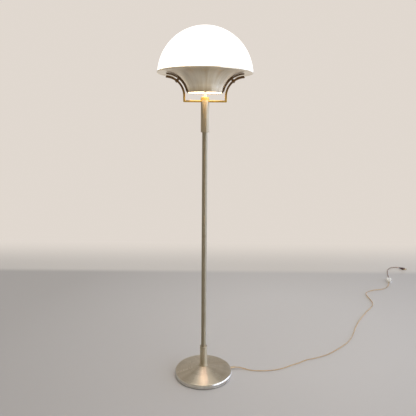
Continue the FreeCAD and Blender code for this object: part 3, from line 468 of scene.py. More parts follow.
def turned_metal(name, lo, hi, rough=0.3, aniso=0.7, rot=0.25, rings=700.0, streaks=9.0, depth=0.00006,
                 streak_mix=0.6, stain=0.25, grime=(0.10, 0.085, 0.06), rim=None):
    """Metal spun or turned about Z: fine rings, streaks along the meridian, a little stain."""
    t = Tree(name)
    P, x, y, z = t.where()
    flat = t.combine(x, y, 0.0)
    r = t.vmath("LENGTH", flat)
    unit = t.node("ShaderNodeVectorMath", operation="NORMALIZE")
    t.link(flat, unit.inputs[0])
    around = unit.outputs[0]
    drift = t.combine(0.0, 0.0, t.math("MULTIPLY", z, 0.6))
    st = t.noise(t.vmath("ADD", around, drift), streaks, 5.0, 0.62)
    fine = t.noise(around, streaks * 14.0, 2.0, 0.6)
    ring = t.noise(t.combine(r, z, 0.0), rings, 3.0, 0.6)
    blot = t.noise(P, 17.0, 4.0, 0.6)
    f = t.math("ADD", t.math("MULTIPLY", t.span(st, 0.3, 0.7, 0.0, 1.0), streak_mix),
               t.math("MULTIPLY", ring, 1.0 - streak_mix))
    f = t.math("ADD", t.math("MULTIPLY", f, 0.82), t.math("MULTIPLY", fine, 0.18))
    col = t.mix(t.span(f, 0.2, 0.8, 0.0, 1.0), lo, hi)
    col = t.mix(t.math("MULTIPLY", t.span(blot, 0.5, 0.75, 0.0, 1.0), stain), col, grime)
    if rim:                                 # painted shade under the rim and towards the mouth
        col = t.mix(t.span(z, 1.268, 1.248, 0.0, 0.72), col, (0.42, 0.33, 0.21))
        col = t.mix(t.span(z, rim[0], rim[1], 0.0, rim[2]), col, (0.30, 0.25, 0.17))
    ro = t.math("ADD", t.span(ring, 0.2, 0.8, rough - 0.05, rough + 0.05), t.span(st, 0.3, 0.7, 0.05, -0.04))
    tan = t.node("ShaderNodeTangent", direction_type="RADIAL", axis="Z")
    t.link(tan.outputs[0], t.bsdf.inputs["Tangent"])
    t.set(color=col, metal=1.0, rough=ro, aniso=aniso, rot=rot)
    t.bump(t.math("ADD", ring, t.math("MULTIPLY", fine, 0.5)), depth, 0.6)
    return t.mat


def drawn_metal(name, lo, hi, rough=0.3, depth=0.00004, aniso=0.4, rot=0.0, grain=34.0, stain=0.4):
    """Tube drawn along Z: hair lines along the length."""
    t = Tree(name)
    P, x, y, z = t.where()
    unit = t.node("ShaderNodeVectorMath", operation="NORMALIZE")
    t.link(t.combine(x, y, 0.0), unit.inputs[0])
    v = t.vmath("ADD", unit.outputs[0], t.combine(0.0, 0.0, t.math("MULTIPLY", z, 1.5)))
    hair = t.noise(v, grain, 4.0, 0.65)
    slow = t.noise(t.combine(0.0, 0.0, z), 11.0, 3.0, 0.6)
    blot = t.noise(P, 45.0, 4.0, 0.6)
    f = t.math("ADD", t.math("MULTIPLY", hair, 0.5), t.math("MULTIPLY", slow, 0.5))
    col = t.mix(t.span(f, 0.3, 0.7, 0.0, 1.0), lo, hi)
    col = t.mix(t.span(blot, 0.58, 0.8, 0.0, stain), col, (0.16, 0.13, 0.09))
    tan = t.node("ShaderNodeTangent", direction_type="RADIAL", axis="Z")
    t.link(tan.outputs[0], t.bsdf.inputs["Tangent"])
    t.set(color=col, metal=1.0, rough=t.span(hair, 0.2, 0.8, rough - 0.06, rough + 0.08), aniso=aniso, rot=rot)
    t.bump(hair, depth, 0.5)
    return t.mat


def plain_metal(name, lo, hi, rough=0.35, scale=60.0, depth=0.00005):
    t = Tree(name)
    P, x, y, z = t.where()
    a = t.noise(P, scale, 5.0, 0.6)
    b = t.noise(P, scale * 14, 2.0, 0.5)
    t.set(color=t.mix(t.span(a, 0.3, 0.7, 0.0, 1.0), lo, hi), metal=1.0,
          rough=t.span(a, 0.2, 0.8, rough - 0.08, rough + 0.1))
    t.bump(b, depth, 0.4)
    return t.mat


def bronze_metal(name, lo, hi, worn, rough=0.36, painted_glow_share=0.0, painted_glow_gold=(0.54, 0.32, 0.10)):
    """Lacquered dark bronze bar, brushed along its length, a little worn, with the bulb's golden light painted in near
    the crossbar.
    """
    t = Tree(name)
    P, x, y, z = t.where()
    brush = t.noise(t.combine(t.math("MULTIPLY", x, 4.0), t.math("MULTIPLY", y, 60.0), t.math("MULTIPLY", z, 4.0)), 22.0, 4.0, 0.6)
    cloud = t.noise(P, 38.0, 4.0, 0.55)
    col = t.mix(t.span(brush, 0.3, 0.7, 0.0, 1.0), lo, hi)
    col = t.mix(t.span(cloud, 0.56, 0.74, 0.0, 0.45), col, worn)
    # painted light: the bulb's golden glow on the crossbar, fading up the legs
    painted_glow_mask = t.math("ADD", t.span(z, 1.212, 1.262, 1.0, 0.0), t.span(cloud, 0.3, 0.7, -0.15, 0.15), True)
    col = t.mix(t.math("MULTIPLY", painted_glow_mask, painted_glow_share), col, painted_glow_gold)
    t.set(color=col, metal=1.0, rough=t.span(brush, 0.2, 0.8, rough - 0.07, rough + 0.1), coat=0.2, coat_rough=0.25)
    t.bump(t.math("ADD", brush, t.math("MULTIPLY", t.noise(P, 900.0, 2.0), 0.3)), 0.00005, 0.5)
    return t.mat


def moulded(name, lo, hi, rough=0.35, scale=250.0, depth=0.00005, **more):
    t = Tree(name)
    P, x, y, z = t.where()
    a = t.noise(P, 30.0, 4.0, 0.6)
    b = t.noise(P, scale, 2.0, 0.5)
    t.set(color=t.mix(t.span(a, 0.3, 0.7, 0.0, 1.0), lo, hi), metal=0.0,
          rough=t.span(a, 0.2, 0.8, rough - 0.06, rough + 0.08), **more)
    t.bump(b, depth, 0.35)
    return t.mat


M = {}
M["base"] = turned_metal("base_spun_nickel", (0.40, 0.34, 0.255), (0.56, 0.50, 0.405), rough=0.30, aniso=0.88, rings=900.0,
                         streaks=5.0, streak_mix=0.5)
M["band"] = turned_metal("base_band_nickel", (0.56, 0.53, 0.48), (0.70, 0.68, 0.64), rough=0.17, aniso=0.3, rings=500.0,
                         streaks=6.0, stain=0.15)
M["collar"] = turned_metal("collar_nickel", (0.44, 0.38, 0.27), (0.58, 0.52, 0.39), rough=0.42, aniso=0.8, rings=1500.0)
M["pole"] = drawn_metal("pole_nickel", (0.36, 0.31, 0.22), (0.46, 0.41, 0.31), rough=0.42, aniso=1.0, rot=0.25, stain=0.25)
M["stem"] = drawn_metal("stem_nickel", (0.43, 0.36, 0.25), (0.55, 0.48, 0.35), rough=0.38, aniso=1.0, rot=0.25, stain=0.2)
# the trumpet, with painted shade under its rim and towards its mouth
M["trumpet"] = turned_metal("trumpet_spun", (0.80, 0.71, 0.54), (0.97, 0.91, 0.78), rough=0.32, aniso=0.88, rings=800.0,
                            streaks=8.0, streak_mix=0.85, stain=0.10, rim=(1.292, 1.318, 0.30))
# the fork, with the bulb's golden glow painted on near the crossbar
M["bronze"] = bronze_metal("fork_bronze", (0.10, 0.052, 0.020), (0.20, 0.112, 0.045), (0.26, 0.16, 0.07), rough=0.38, painted_glow_share=0.85, painted_glow_gold=(0.66, 0.44, 0.11))
M["strip"] = bronze_metal("strip_bronze", (0.15, 0.095, 0.050), (0.24, 0.155, 0.085), (0.30, 0.20, 0.11), rough=0.42)
# painted light: the stem cap's nickel in a golden copy for the bulb's glow on it
M["cap"] = drawn_metal("cap_nickel_painted_glow", (0.45, 0.33, 0.10), (0.53, 0.40, 0.14), rough=0.38, aniso=1.0, rot=0.25, stain=0.1)
# painted shade: the rolled hem at the mouth in darker metal
M["hem"] = plain_metal("hem_painted_shade", (0.22, 0.185, 0.14), (0.34, 0.29, 0.22), rough=0.45)
M["zinc"] = plain_metal("zinc_plate", (0.50, 0.50, 0.48), (0.66, 0.66, 0.64), rough=0.32)
M["brass"] = plain_metal("contact_brass_metal", (0.62, 0.45, 0.20), (0.80, 0.62, 0.32), rough=0.25)
M["iron"] = moulded("weight_iron", (0.05, 0.047, 0.045), (0.11, 0.10, 0.095), rough=0.6, scale=400.0, depth=0.0003)
M["rubber"] = moulded("foot_rubber", (0.012, 0.012, 0.013), (0.03, 0.03, 0.03), rough=0.55, scale=700.0)
M["bush"] = moulded("bush_dark_plastic", (0.03, 0.022, 0.014), (0.06, 0.045, 0.03), rough=0.45)
M["holder"] = moulded("holder_bakelite", (0.02, 0.017, 0.015), (0.045, 0.04, 0.035), rough=0.3)
M["ceramic"] = moulded("holder_ceramic", (0.72, 0.68, 0.60), (0.85, 0.82, 0.75), rough=0.25)
M["white"] = moulded("switch_plastic", (0.74, 0.72, 0.68), (0.86, 0.85, 0.82), rough=0.28, coat=0.3, coat_rough=0.15)
M["rocker"] = moulded("rocker_plastic", (0.70, 0.68, 0.63), (0.82, 0.80, 0.76), rough=0.24, coat=0.3, coat_rough=0.12)
M["plug"] = moulded("plug_plastic", (0.050, 0.012, 0.006), (0.095, 0.026, 0.012), rough=0.33, scale=500.0)
M["felt"] = moulded("felt_wool", (0.06, 0.06, 0.06), (0.14, 0.14, 0.135), rough=0.95, scale=1400.0, depth=0.0006, sheen=0.5)


def opal_dome(name):
    """Opal acrylic, lit from inside: almost even, a touch warmer and weaker at its foot."""
    t = Tree(name)
    P, x, y, z = t.where()
    cloud = t.noise(P, 9.0, 3.0, 0.5)
    up = t.span(z, 1.322, 1.37, 0.0, 1.0)
    glow = t.mix(up, (1.0, 0.93, 0.82), (1.0, 0.985, 0.955))
    base = t.mix(cloud, (0.86, 0.85, 0.82), (0.90, 0.895, 0.88))
    t.set(color=base, rough=t.span(cloud, 0.3, 0.7, 0.16, 0.24), emit=glow, power=1.15, ior=1.49, coat=0.3, coat_rough=0.08)
    t.bump(t.noise(P, 60.0, 2.0), 0.00003, 0.4)
    return t.mat


def bulb_frost(name):
    t = Tree(name)
    P, x, y, z = t.where()
    cloud = t.noise(P, 40.0, 3.0, 0.5)
    t.set(color=t.mix(cloud, (0.95, 0.93, 0.88), (1.0, 0.98, 0.95)), rough=t.span(cloud, 0.0, 1.0, 0.35, 0.5),
          emit=t.mix(cloud, (1.0, 0.80, 0.50), (1.0, 0.86, 0.60)), power=6.0)
    return t.mat


def lit_enamel(name):
    """White enamel inside the shade, with the bulb's full light on it painted in as glow."""
    t = Tree(name)
    P, x, y, z = t.where()
    cloud = t.noise(P, 30.0, 3.0, 0.5)
    deep = t.span(z, 1.258, 1.268, 0.0, 1.0)
    glow = t.mix(deep, (1.25, 1.19, 1.12), t.mix(cloud, (5.7, 3.00, 0.62), (5.7, 3.25, 0.78)))
    t.set(color=t.mix(cloud, (0.80, 0.79, 0.75), (0.86, 0.85, 0.82)), rough=t.span(cloud, 0.3, 0.7, 0.3, 0.42),
          emit=glow, power=1.0)
    t.bump(t.noise(P, 400.0, 2.0), 0.00003, 0.4)
    return t.mat


def clear_gold(name, power=0.7, lo=(0.74, 0.55, 0.33), hi=(0.90, 0.75, 0.54)):
    """Clear golden cord plastic: tinted, glossy, partly seen through."""
    t = Tree(name)
    P, x, y, z = t.where()
    a = t.noise(P, 60.0, 4.0, 0.6)
    b = t.noise(P, 420.0, 3.0, 0.6)
    t.set(color=t.mix(t.span(a, 0.3, 0.7, 0.0, 1.0), lo, hi),
          rough=t.span(b, 0.2, 0.8, 0.14, 0.26), trans=power, ior=1.45)
    t.bump(b, 0.00006, 0.3)
    return t.mat


def strand(name):
    """Bare stranded wire seen through the cord's plastic."""
    t = Tree(name)
    P, x, y, z = t.where()
    a = t.noise(P, 900.0, 2.0, 0.5)
    t.set(color=t.mix(t.span(a, 0.3, 0.7, 0.0, 1.0), (0.66, 0.46, 0.24), (0.95, 0.78, 0.50)), metal=1.0,
          rough=t.span(a, 0.2, 0.8, 0.25, 0.4))
    t.bump(a, 0.00015, 0.8)
    return t.mat


M["dome"] = opal_dome("opal_acrylic_lit")
M["bulb"] = bulb_frost("bulb_frosted_lit")
M["enamel"] = lit_enamel("shade_inside_enamel")
M["cord"] = clear_gold("cord_clear_gold", 0.55, (0.84, 0.62, 0.37), (0.96, 0.79, 0.56))
M["wire"] = strand("cord_wire")
# painted shade: a dark copy of the gold cord for the stretch past the switch
M["cord_painted_shade"] = clear_gold("cord_gold_painted_shade", 0.45, (0.20, 0.075, 0.028), (0.32, 0.14, 0.055))
M["gland"] = clear_gold("gland_clear_gold", 0.45)

SLOT_MAT = {
    "satin_nickel": "collar", "zinc_steel": "zinc", "rubber_black": "rubber", "iron": "iron", "felt_grey": "felt",
    "bush_dark": "bush", "shade_metal": "trumpet", "bronze": "bronze", "opal": "dome", "lamp_glass": "bulb",
    "cap_metal": "zinc", "holder_black": "holder", "ceramic": "ceramic", "contact_brass": "brass",
    "glass_mount": "ceramic", "cord_gold": "cord", "clear_fitting": "gland", "switch_white": "white",
    "plug_brown": "plug"}
slot_of = {s["node"]: s["material_slot"] for s in frame["record"]["subparts"]}
for node, o in frame["nodes"].items():
    mat = M[SLOT_MAT[slot_of[node]]]
    o.data.materials.clear()
    o.data.materials.append(mat)

# -------------------------------------------------------------------------- camera
cam = bpy.data.objects.new("camera", bpy.data.cameras.new("camera"))
scene.collection.objects.link(cam)
cam.data.sensor_width = 36.0
cam.data.lens = 37.29
cam.location = (0.0153, -1.7995, 1.1126)
cam.matrix_world = (Matrix.Translation(cam.location) @ Matrix.Rotation(math.radians(90 - 10.747), 4, "X")
                    @ Matrix.Rotation(math.radians(0.453), 4, "Z"))
cam.data.clip_start, cam.data.clip_end = 0.05, 60
scene.camera = cam

# ----------------------------------------------------------------- fork and strips
AX, AZ = 161.0, 1231.0
AN, AF = 72.6, 80.8
SN, SF = 86.0, 88.9
BAR0, BAR1 = 1208.0, 1215.0
HALF = 11.0


def on_arc(r, a, s=1):
    return (s * (AX + r * math.cos(math.radians(a))), AZ + r * math.sin(math.radians(a)))


right = []
for k in range(37):
    f = k / 36.0
    right.append((on_arc(AN, 92.3 + (180 - 92.3) * f), on_arc(AF, 95.2 + (180 - 95.2) * f)))
xo, xi = AX - AN, AX - AF
for z in (1226.0, 1221.0, 1217.5):
    right.append(((xo, z), (xi, z)))
ro, ri = 2.6, 0.9
for k in range(7):
    t = math.radians(-90.0 * k / 6)
    right.append(((xo - ro + ro * math.cos(t), BAR0 + ro + ro * math.sin(t)),
                  (xi - ri + ri * math.cos(t), BAR1 + ri + ri * math.sin(t))))
for x in (70.0, 55.0, 40.0, 25.0, 8.0):
    right.append(((x, BAR0), (x, BAR1)))
stations = right + [((-a[0], a[1]), (-b[0], b[1])) for a, b in reversed(right)]
FIX = math.radians(128.0)
UX, UZ = math.cos(FIX), math.sin(FIX)


def screw_rod(s, r, r0, r1):
    return moved(rod_mesh("rod", r, 0.0, r1 - r0, 28), at(s * (AX + r0 * UX), 0, AZ + r0 * UZ, facing(UX * s, 0, UZ)))


fork_me = carve(bar_mesh("fork_bar", stations, HALF, 1.1), screw_rod(1, 2.6, AN - 9, AF + 9), screw_rod(-1, 2.6, AN - 9, AF + 9),
                rod_mesh("mid_hole", 5.1, BAR0 - 5, BAR1 + 5, 40))
piece("fork_bar", fork_me, "stand", M["bronze"], ("fork",), 30)
for side, s in (("right", 1), ("left", -1)):
    st = [(on_arc(SN, 93.5 + 74.0 * k / 40.0, s), on_arc(SF, 93.5 + 74.0 * k / 40.0, s)) for k in range(41)]
    me = carve(bar_mesh("saddle_strip_" + side, st, 8.0, 0.7), screw_rod(s, 2.6, SN - 9, SF + 9))
    piece("saddle_strip_" + side, me, "stand", M["strip"], ("saddle_" + side,), 30)
    nd_s = frame["nodes"]["spacer_" + side]
    nd_s.data.materials[0] = M["strip"]
sc = []
for k, s in enumerate((1, -1)):
    turn = Matrix.Rotation(math.radians(25 + 40 * k), 4, "Z")
    sc.append(moved(screw_mesh("screw_%d" % k, 4.6, 3.0, 2.5, 26.0, 1.0, 1.3),
                    at(s * (AX + (AN - 3.4) * UX), 0, AZ + (AN - 3.4) * UZ, facing(UX * s, 0, UZ) @ turn)))
piece("shade_screw_pair", merged("shade_screw_pair", *sc), "stand", M["strip"], ("shade_screws",), 30)

# -------------------------------------------------------------- stem head and holder
rows = [(4.4, 1082.0, 0.0), (5.0, 1082.6, 0.0), (5.0, 1222.0, 0.0)]
z = 1222.5
while z < 1261.2:
    rows.append((5.0, z, min(1.0, (z - 1222.0) / 2.0)))
    z += 0.25
rows += [(4.75, 1261.5, 0.6), (4.4, 1262.0, 0.0)]
piece("upper_threaded_tube", threaded_mesh("upper_threaded_tube", rows, 48, 1.0, 0.42, 3.5), "stand", M["zinc"],
      ("upper_nipple",), 60)
lathe("stem_cap", [(5.1, 1215.02), (17.0, 1215.02, 0.1), (17.25, 1215.4, 0.1), (17.25, 1227.5, 0.7), (9.4, 1227.5, 0.2), (9.0, 1227.1, 0.1),
                   (5.1, 1227.1)], "stand", M["cap"], ("crossbar_cap",), seg=128, rad=0.2)
lathe("holder_skirt_ribbed", [(5.06, 1250.0), (8.0, 1250.0, 0.3), (8.6, 1250.8, 0.3), (8.6, 1253.0), (8.2, 1253.4), (8.2, 1254.0),
                              (8.6, 1254.4), (8.6, 1256.4, 0.8), (13.0, 1260.2, 1.0), (17.3, 1264.0, 1.0), (19.5, 1266.5, 0.6),
                              (19.5, 1269.0, 0.2), (17.6, 1269.0), (17.6, 1266.8), (15.4, 1265.4), (7.0, 1258.0), (5.06, 1258.0)],
      "stand", M["holder"], ("holder_skirt",), seg=96, rad=0.2)
sh = [(17.6, 1269.05), (19.5, 1269.05, 0.2), (19.8, 1269.6, 0.2), (19.8, 1272.4, 0.3), (19.1, 1272.9, 0.3)]
for k in range(6):
    z0 = 1274.2 + 3.3 * k
    sh += [(19.1, z0, 0.4), (19.75, z0 + 0.9, 0.4), (19.75, z0 + 1.7, 0.4), (19.1, z0 + 2.6, 0.4)]
sh += [(19.0, 1298.0, 0.3), (18.2, 1299.0, 0.5), (16.0, 1299.0, 0.3), (16.0, 1297.4), (17.6, 1297.4)]
lathe("holder_shell_threaded", sh, "stand", M["holder"], ("holder_shell",), seg=96, rad=0.3)

# ---------------------------------------------------------------------------- bulb
GL = [(11.85, 1297.0), (11.85, 1301.5), (11.95, 1304.0), (12.9, 1308.5), (15.2, 1317.0)]
GL += [(30.0 * math.cos(math.radians(a)), 1353.0 + 30.0 * math.sin(math.radians(a)))
       for a in (-49, -40, -30, -20, -10, 0, 10, 20, 30, 40, 50, 60, 70, 80)] + [(0.0, 1383.0)]
outline = curve_through(GL, 5)
inside = [(max(r - 0.9, 0.0), z - (0.9 if r < 12 and z > 1370 else 0.0)) for r, z in reversed(outline)]
inside[0] = (0.0, 1382.1)
bulb_me = lathe_mesh("bulb_globe", outline + inside, 96)
piece("bulb_globe", bulb_me, "stand", M["bulb"], ("bulb_glass",), 60)
rows = [(4.0, 1276.1, 0), (6.5, 1276.1, 0), (9.2, 1277.6, 0), (11.6, 1279.0, 0), (12.6, 1279.6, 0)]
z = 1280.0
while z < 1295.2:
    rows.append((13.2, z, min(1.0, (z - 1279.6) / 1.5, (1295.6 - z) / 1.5)))
    z += 0.4
rows += [(13.2, 1295.6, 0), (12.5, 1296.6, 0), (12.45, 1302.6, 0), (12.2, 1303.0, 0)]
piece("bulb_screw_cap", threaded_mesh("bulb_screw_cap", rows, 64, 3.6, 1.1, 11.5 if False else 3.9), "stand", M["zinc"],
      ("bulb_cap",), 50)

# -------------------------------------------------------------------- base fittings
lathe("foot_rubber_ring", [(119.0, 0.0, 0.6), (128.3, 0.0, 0.9), (128.3, 1.2, 0.2), (127.9, 1.5, 0.2), (128.3, 1.8, 0.2), (128.3, 2.95, 0.2),
                           (127.6, 2.95, 0.1), (127.6, 4.6, 0.3), (125.1, 4.6, 0.3), (125.1, 2.6, 0.1), (119.0, 2.6, 0.4)],
      "stand", M["rubber"], ("foot_ring",), seg=200, rad=0.2)
GT = math.radians(14.0)
GX, GY = math.cos(GT), math.sin(GT)
gp = [(3.05, -5.0), (5.2, -5.0, 0.3), (5.2, -1.7, 0.2), (4.4, -1.7), (4.4, 0.2), (5.8, 0.2, 0.2), (5.8, 1.5, 0.5), (5.15, 2.6, 0.5)]
for k in range(5):
    z0 = 4.2 + 3.1 * k
    r0 = 5.15 - 0.052 * (z0 - 3.0)
    gp += [(r0, z0, 0.3), (r0 - 0.75, z0 + 0.45, 0.3), (r0 - 0.8, z0 + 1.15, 0.3), (r0 - 0.12, z0 + 1.6, 0.3)]
gp += [(4.15, 21.5, 0.3), (4.1, 24.0, 0.5), (3.05, 24.0, 0.2)]
gl_me = moved(lathe_mesh("cord_gland_ribbed", soften(gp, 0.1, 3), 64), at(129.2 * GX, 129.2 * GY, 10.0, facing(GX, GY, 0)))
piece("cord_gland_ribbed", gl_me, "stand", M["gland"], ("cord_gland",), 40)

# -------------------------------------------------------------------------- switch
SWM = at(1351.0, 1220.0, 0.0, Matrix.Rotation(math.radians(67.0), 4, "Z"))
LYING = Matrix.Rotation(math.radians(90), 4, "Y")


def arc_levels(z0, z1, r, up):
    """Levels of a rounded edge: up is True for a top edge ending at z1."""
    if up:
        return [(z1 - r + r * math.sin(math.radians(a)), r * (1 - math.cos(math.radians(a)))) for a in (0, 18, 36, 54, 72, 90)]
    return [(z0 + r - r * math.sin(math.radians(a)), r * (1 - math.cos(math.radians(a)))) for a in (90, 68, 45, 22, 0)]


low = rounded_block("switch_shell_low", 32.0, 16.0, 9.0, arc_levels(0.0, 0, 1.6, False) + [(4.0, 0.0), (8.6, 0.0), (8.95, 0.35)])
grooves = []
for sx_ in (-1, 1):
    for k in range(5):
        x = sx_ * (13.5 + 2.4 * k)
        for sy_ in (-1, 1):
            grooves.append(moved(block("g", -0.45, 0.45, -0.55, 0.55, 3.0, 30.0), at(x, sy_ * 16.3, 0.0)))
low = carve(low, rounded_block("hollow", 30.1, 14.1, 7.1, [(1.9, 0.0), (12.0, 0.0)]),
            moved(rod_mesh("entry", 3.2, -40.0, 40.0, 40), at(0, 0, 5.2, LYING)),
            *[rod_mesh("sink", 2.3, -1.0, 1.75, 28) for _ in ()])
low = carve(low, moved(rod_mesh("sink_a", 2.3, -1.0, 1.6, 28), at(22, 9.5, 0)), moved(rod_mesh("sink_b", 2.3, -1.0, 1.6, 28), at(-22, -9.5, 0)))
sw_low = piece("switch_shell_low", moved(low, SWM), "stand", M["white"], ("switch_bottom",), 30)

top = rounded_block("switch_shell_top", 32.0, 16.0, 9.0, [(9.05, 0.3), (9.35, 0.0), (12.0, 0.0)] + arc_levels(0, 19.0, 3.2, True))
top = carve(top, rounded_block("hollow", 30.1, 14.1, 7.1, [(8.0, 0.0), (16.9, 0.0)]))
top = carve(top, rounded_block("window", 11.4, 6.1, 1.2, [(15.0, 0.0), (25.0, 0.0)]))
top = carve(top, rounded_block("dish", 14.6, 8.6, 2.6, [(18.55, 0.35), (18.75, 0.0), (25.0, -0.0)]))
top = carve(top, *grooves)
sw_top = piece("switch_shell_top", moved(top, SWM), "stand", M["white"], ("switch_top",), 30)

RH = 10.2
rk = [(-RH, 1.6), (-RH * 0.45, -2.6), (RH * 0.45, -2.6), (RH, 1.6), (RH + 0.15, 6.6), (RH - 0.3, 7.25)]
dipr = [(RH - 0.3 - 1.0 * k, 7.25 - 1.65 * math.sin(math.pi / 2 * min(1.0, k / 9.2)) ** 1.0) for k in range(1, 9)]
rk += dipr + [(0.0, 5.6)] + [(-x, q) for x, q in reversed(dipr)] + [(0.3 - RH, 7.25), (-0.15 - RH, 6.6)]
rock = loft("switch_rocker_cap", [[(x, y, q) for x, q in rk] for y in (-5.5, 5.5)])
rock = bevelled(rock, 0.45, 3, 40.0)
ribs = []
for s in (-1, 1):
    for k in range(3):
        ribs.append(block("rib", s * (6.4 + 1.15 * k) - 0.22, s * (6.4 + 1.15 * k) + 0.22, -4.1, 4.1, 6.35 + 0.18 * k, 9.0))
rock = carve(rock, *ribs)
rock = carve(rock, moved(rod_mesh("bore", 1.26, -10.0, 10.0, 24), Matrix.Rotation(math.radians(90), 4, "X")))
rock = moved(rock, SWM @ at(0, 0, 13.6) @ Matrix.Rotation(math.radians(7.0), 4, "Y"))
sw_rock = piece("switch_rocker_cap", rock, "rocker", M["rocker"], ("switch_rocker",), 35)

# ---------------------------------------------------------------------------- plug
PLM = at(1560.5, 1514.0, 0.0, Matrix.Rotation(math.radians(-51.0), 4, "Z"))


def oval(w, h, e, n=40):
    """Superellipse outline, w wide and h high about the plug's middle."""
    out = []
    for k in range(n):
        t = 2 * math.pi * k / n
        c, s = math.cos(t), math.sin(t)
        out.append((w / 2 * math.copysign(abs(c) ** (2 / e), c), h / 2 * math.copysign(abs(s) ** (2 / e), s)))
    return out


WID = [(-4.0, 7.6), (0.0, 9.6), (5.0, 11.6), (9.0, 13.2), (13.0, 17.5), (17.0, 22.6), (21.0, 25.4), (26.0, 26.0), (31.0, 26.0), (36.0, 25.4)]
HIG = [(-4.0, 7.6), (0.0, 9.6), (5.0, 11.0), (9.0, 12.0), (13.0, 13.0), (17.0, 13.5), (21.0, 13.6), (26.0, 13.6), (31.0, 13.6), (36.0, 13.4)]


def table(tab, x):
    for (a, p), (b, q) in zip(tab, tab[1:]):
        if x <= b:
            f = (x - a) / (b - a)
            return p + (q - p) * f * f * (3 - 2 * f) if abs(q - p) > 2 else p + (q - p) * f
    return tab[-1][1]


rings = []
x = -4.0
while x <= 36.001:
    w, h = table(WID, x), table(HIG, x)
    e = 2.0 + 2.2 * max(0.0, min(1.0, (x - 4.0) / 14.0))
    if -3.0 < x < 9.0:                      # rings round the tail
        g = 0.55 * max(0.0, math.sin(math.pi * (x + 3.0) / 1.5)) * (1.0 if int((x + 3.0) / 1.5) % 2 == 0 else 0.0)
        w, h = w - 2 * g, h - 2 * g
    if 20.0 < x < 32.0:                     # grip grooves
        g = 0.55 * max(0.0, math.sin(math.pi * (x - 20.0) / 1.5)) * (1.0 if int((x - 20.0) / 1.5) % 2 == 0 else 0.0)
        w -= 2 * g
    if x > 34.8:
        q = (x - 34.8) / 1.2
        k = 1.2 * (1 - math.sqrt(max(0.0, 1 - q * q)))
        w, h = w - 2 * k, h - 2 * k
    if x < -3.4:
        w, h = w - 0.8, h - 0.8
    rings.append([(x, a, 6.8 + b) for a, b in oval(w, h, e)])
    x += 0.25
plug_me = loft("plug_grip", rings)
plug_me = carve(plug_me, moved(rod_mesh("pa", 2.02, 30.0, 40.0, 28), at(0, 9.3, 6.8, LYING)),
                moved(rod_mesh("pb", 2.02, 30.0, 40.0, 28), at(0, -9.3, 6.8, LYING)))
plug_o = piece("plug_grip", moved(plug_me, PLM), "stand", M["plug"], ("plug_body",), 40)
pins = []
for s in (-1, 1):
    prof = [(0.0, 28.0), (2.0, 28.0), (2.0, 45.6), (1.85, 45.9), (1.85, 46.2), (2.0, 46.5), (2.0, 53.4)]
    prof += [(2.0 * math.cos(math.radians(a)), 53.4 + 1.6 * math.sin(math.radians(a))) for a in (20, 40, 60, 78)] + [(0.0, 55.0)]
    pins.append(moved(lathe_mesh("pin", prof, 40), at(0, s * 9.3, 6.8, LYING)))
pins_o = piece("plug_pin_pair", moved(merged("plug_pin_pair", *pins), PLM), "stand", M["brass"], ("plug_pins",), 35)

# --------------------------------------------------------------------------- cords
# The route's points, in millimetres, one height lower on the floor than the round tube
# because the real cord is a flat twin.
LAY = 1.65
EXIT = 129.2 + 24.0
ST = math.radians(67.0)
SX, SY = math.cos(ST), math.sin(ST)
NEAR = (1351.0 - SX * 32, 1220.0 - SY * 32)
FAR = (1351.0 + SX * 32, 1220.0 + SY * 32)
PT = math.radians(-51.0)
PX, PY = math.cos(PT), math.sin(PT)
ROUTE_A = [
    (EXIT * GX, EXIT * GY, 10.0), (EXIT * GX + 17.0, EXIT * GY + 2.6, 8.4), (191.0, 36.0, LAY + 1.2),
    (215.0, 26.5, LAY), (243.0, 20.8, LAY), (285.0, 21.0, LAY), (326.0, 26.5, LAY),
    (368.0, 41.0, LAY), (414.0, 69.0, LAY), (463.0, 94.0, LAY), (494.0, 118.0, LAY), (534.0, 131.0, LAY),
    (585.0, 153.0, LAY), (621.0, 173.0, LAY), (661.0, 206.0, LAY), (704.0, 244.0, LAY), (748.0, 286.0, LAY),
    (792.0, 345.0, LAY), (828.0, 414.0, LAY), (857.0, 475.0, LAY), (901.0, 550.0, LAY), (948.0, 618.0, LAY),
    (1000.0, 691.0, LAY), (1052.0, 753.0, LAY), (1081.0, 806.0, LAY), (1086.0, 872.0, LAY), (1085.0, 950.0, LAY),
    (1104.0, 1000.0, LAY), (1166.0, 1038.0, LAY), (1238.0, 1054.0, LAY), (1291.0, 1098.0, LAY),
    (NEAR[0] - SX * 34, NEAR[1] - SY * 34, LAY), (NEAR[0], NEAR[1], 5.2)]
ROUTE_B = [
    (FAR[0], FAR[1], 5.2), (FAR[0] + SX * 30, FAR[1] + SY * 30, LAY), (1391.0, 1330.0, LAY), (1412.0, 1393.0, LAY),
    (1434.0, 1452.0, LAY), (1463.0, 1499.0, LAY), (1489.0, 1527.0, LAY), (1517.0, 1540.0, LAY),
    (1543.0, 1535.0, LAY + 2.2), (1560.5 - PX * 4.0, 1514.0 - PY * 4.0, 6.8)]


def smooth_line(points, name, res):
    """Points along one open NURBS spline that has the route's points for control points."""
    cu = bpy.data.curves.new(name, "CURVE")
    cu.dimensions = "3D"
    sp = cu.splines.new("NURBS")
    sp.points.add(len(points) - 1)
    for p, q in zip(sp.points, points):
        p.co = (q[0] * MM, q[1] * MM, q[2] * MM, 1.0)
    sp.order_u = 3
    sp.use_endpoint_u = True
    sp.resolution_u = res
    o = obj_from(name, cu)
    bpy.context.view_layer.update()
    me = bpy.data.meshes.new_from_object(o)
    line = [v.co.copy() for v in me.vertices]
    bpy.data.meshes.remove(me)
    bpy.data.objects.remove(o)
    bpy.data.curves.remove(cu)
    out = [line[0]]
    for p in line[1:]:
        if (p - out[-1]).length > 0.0004:
            out.append(p)
    return out


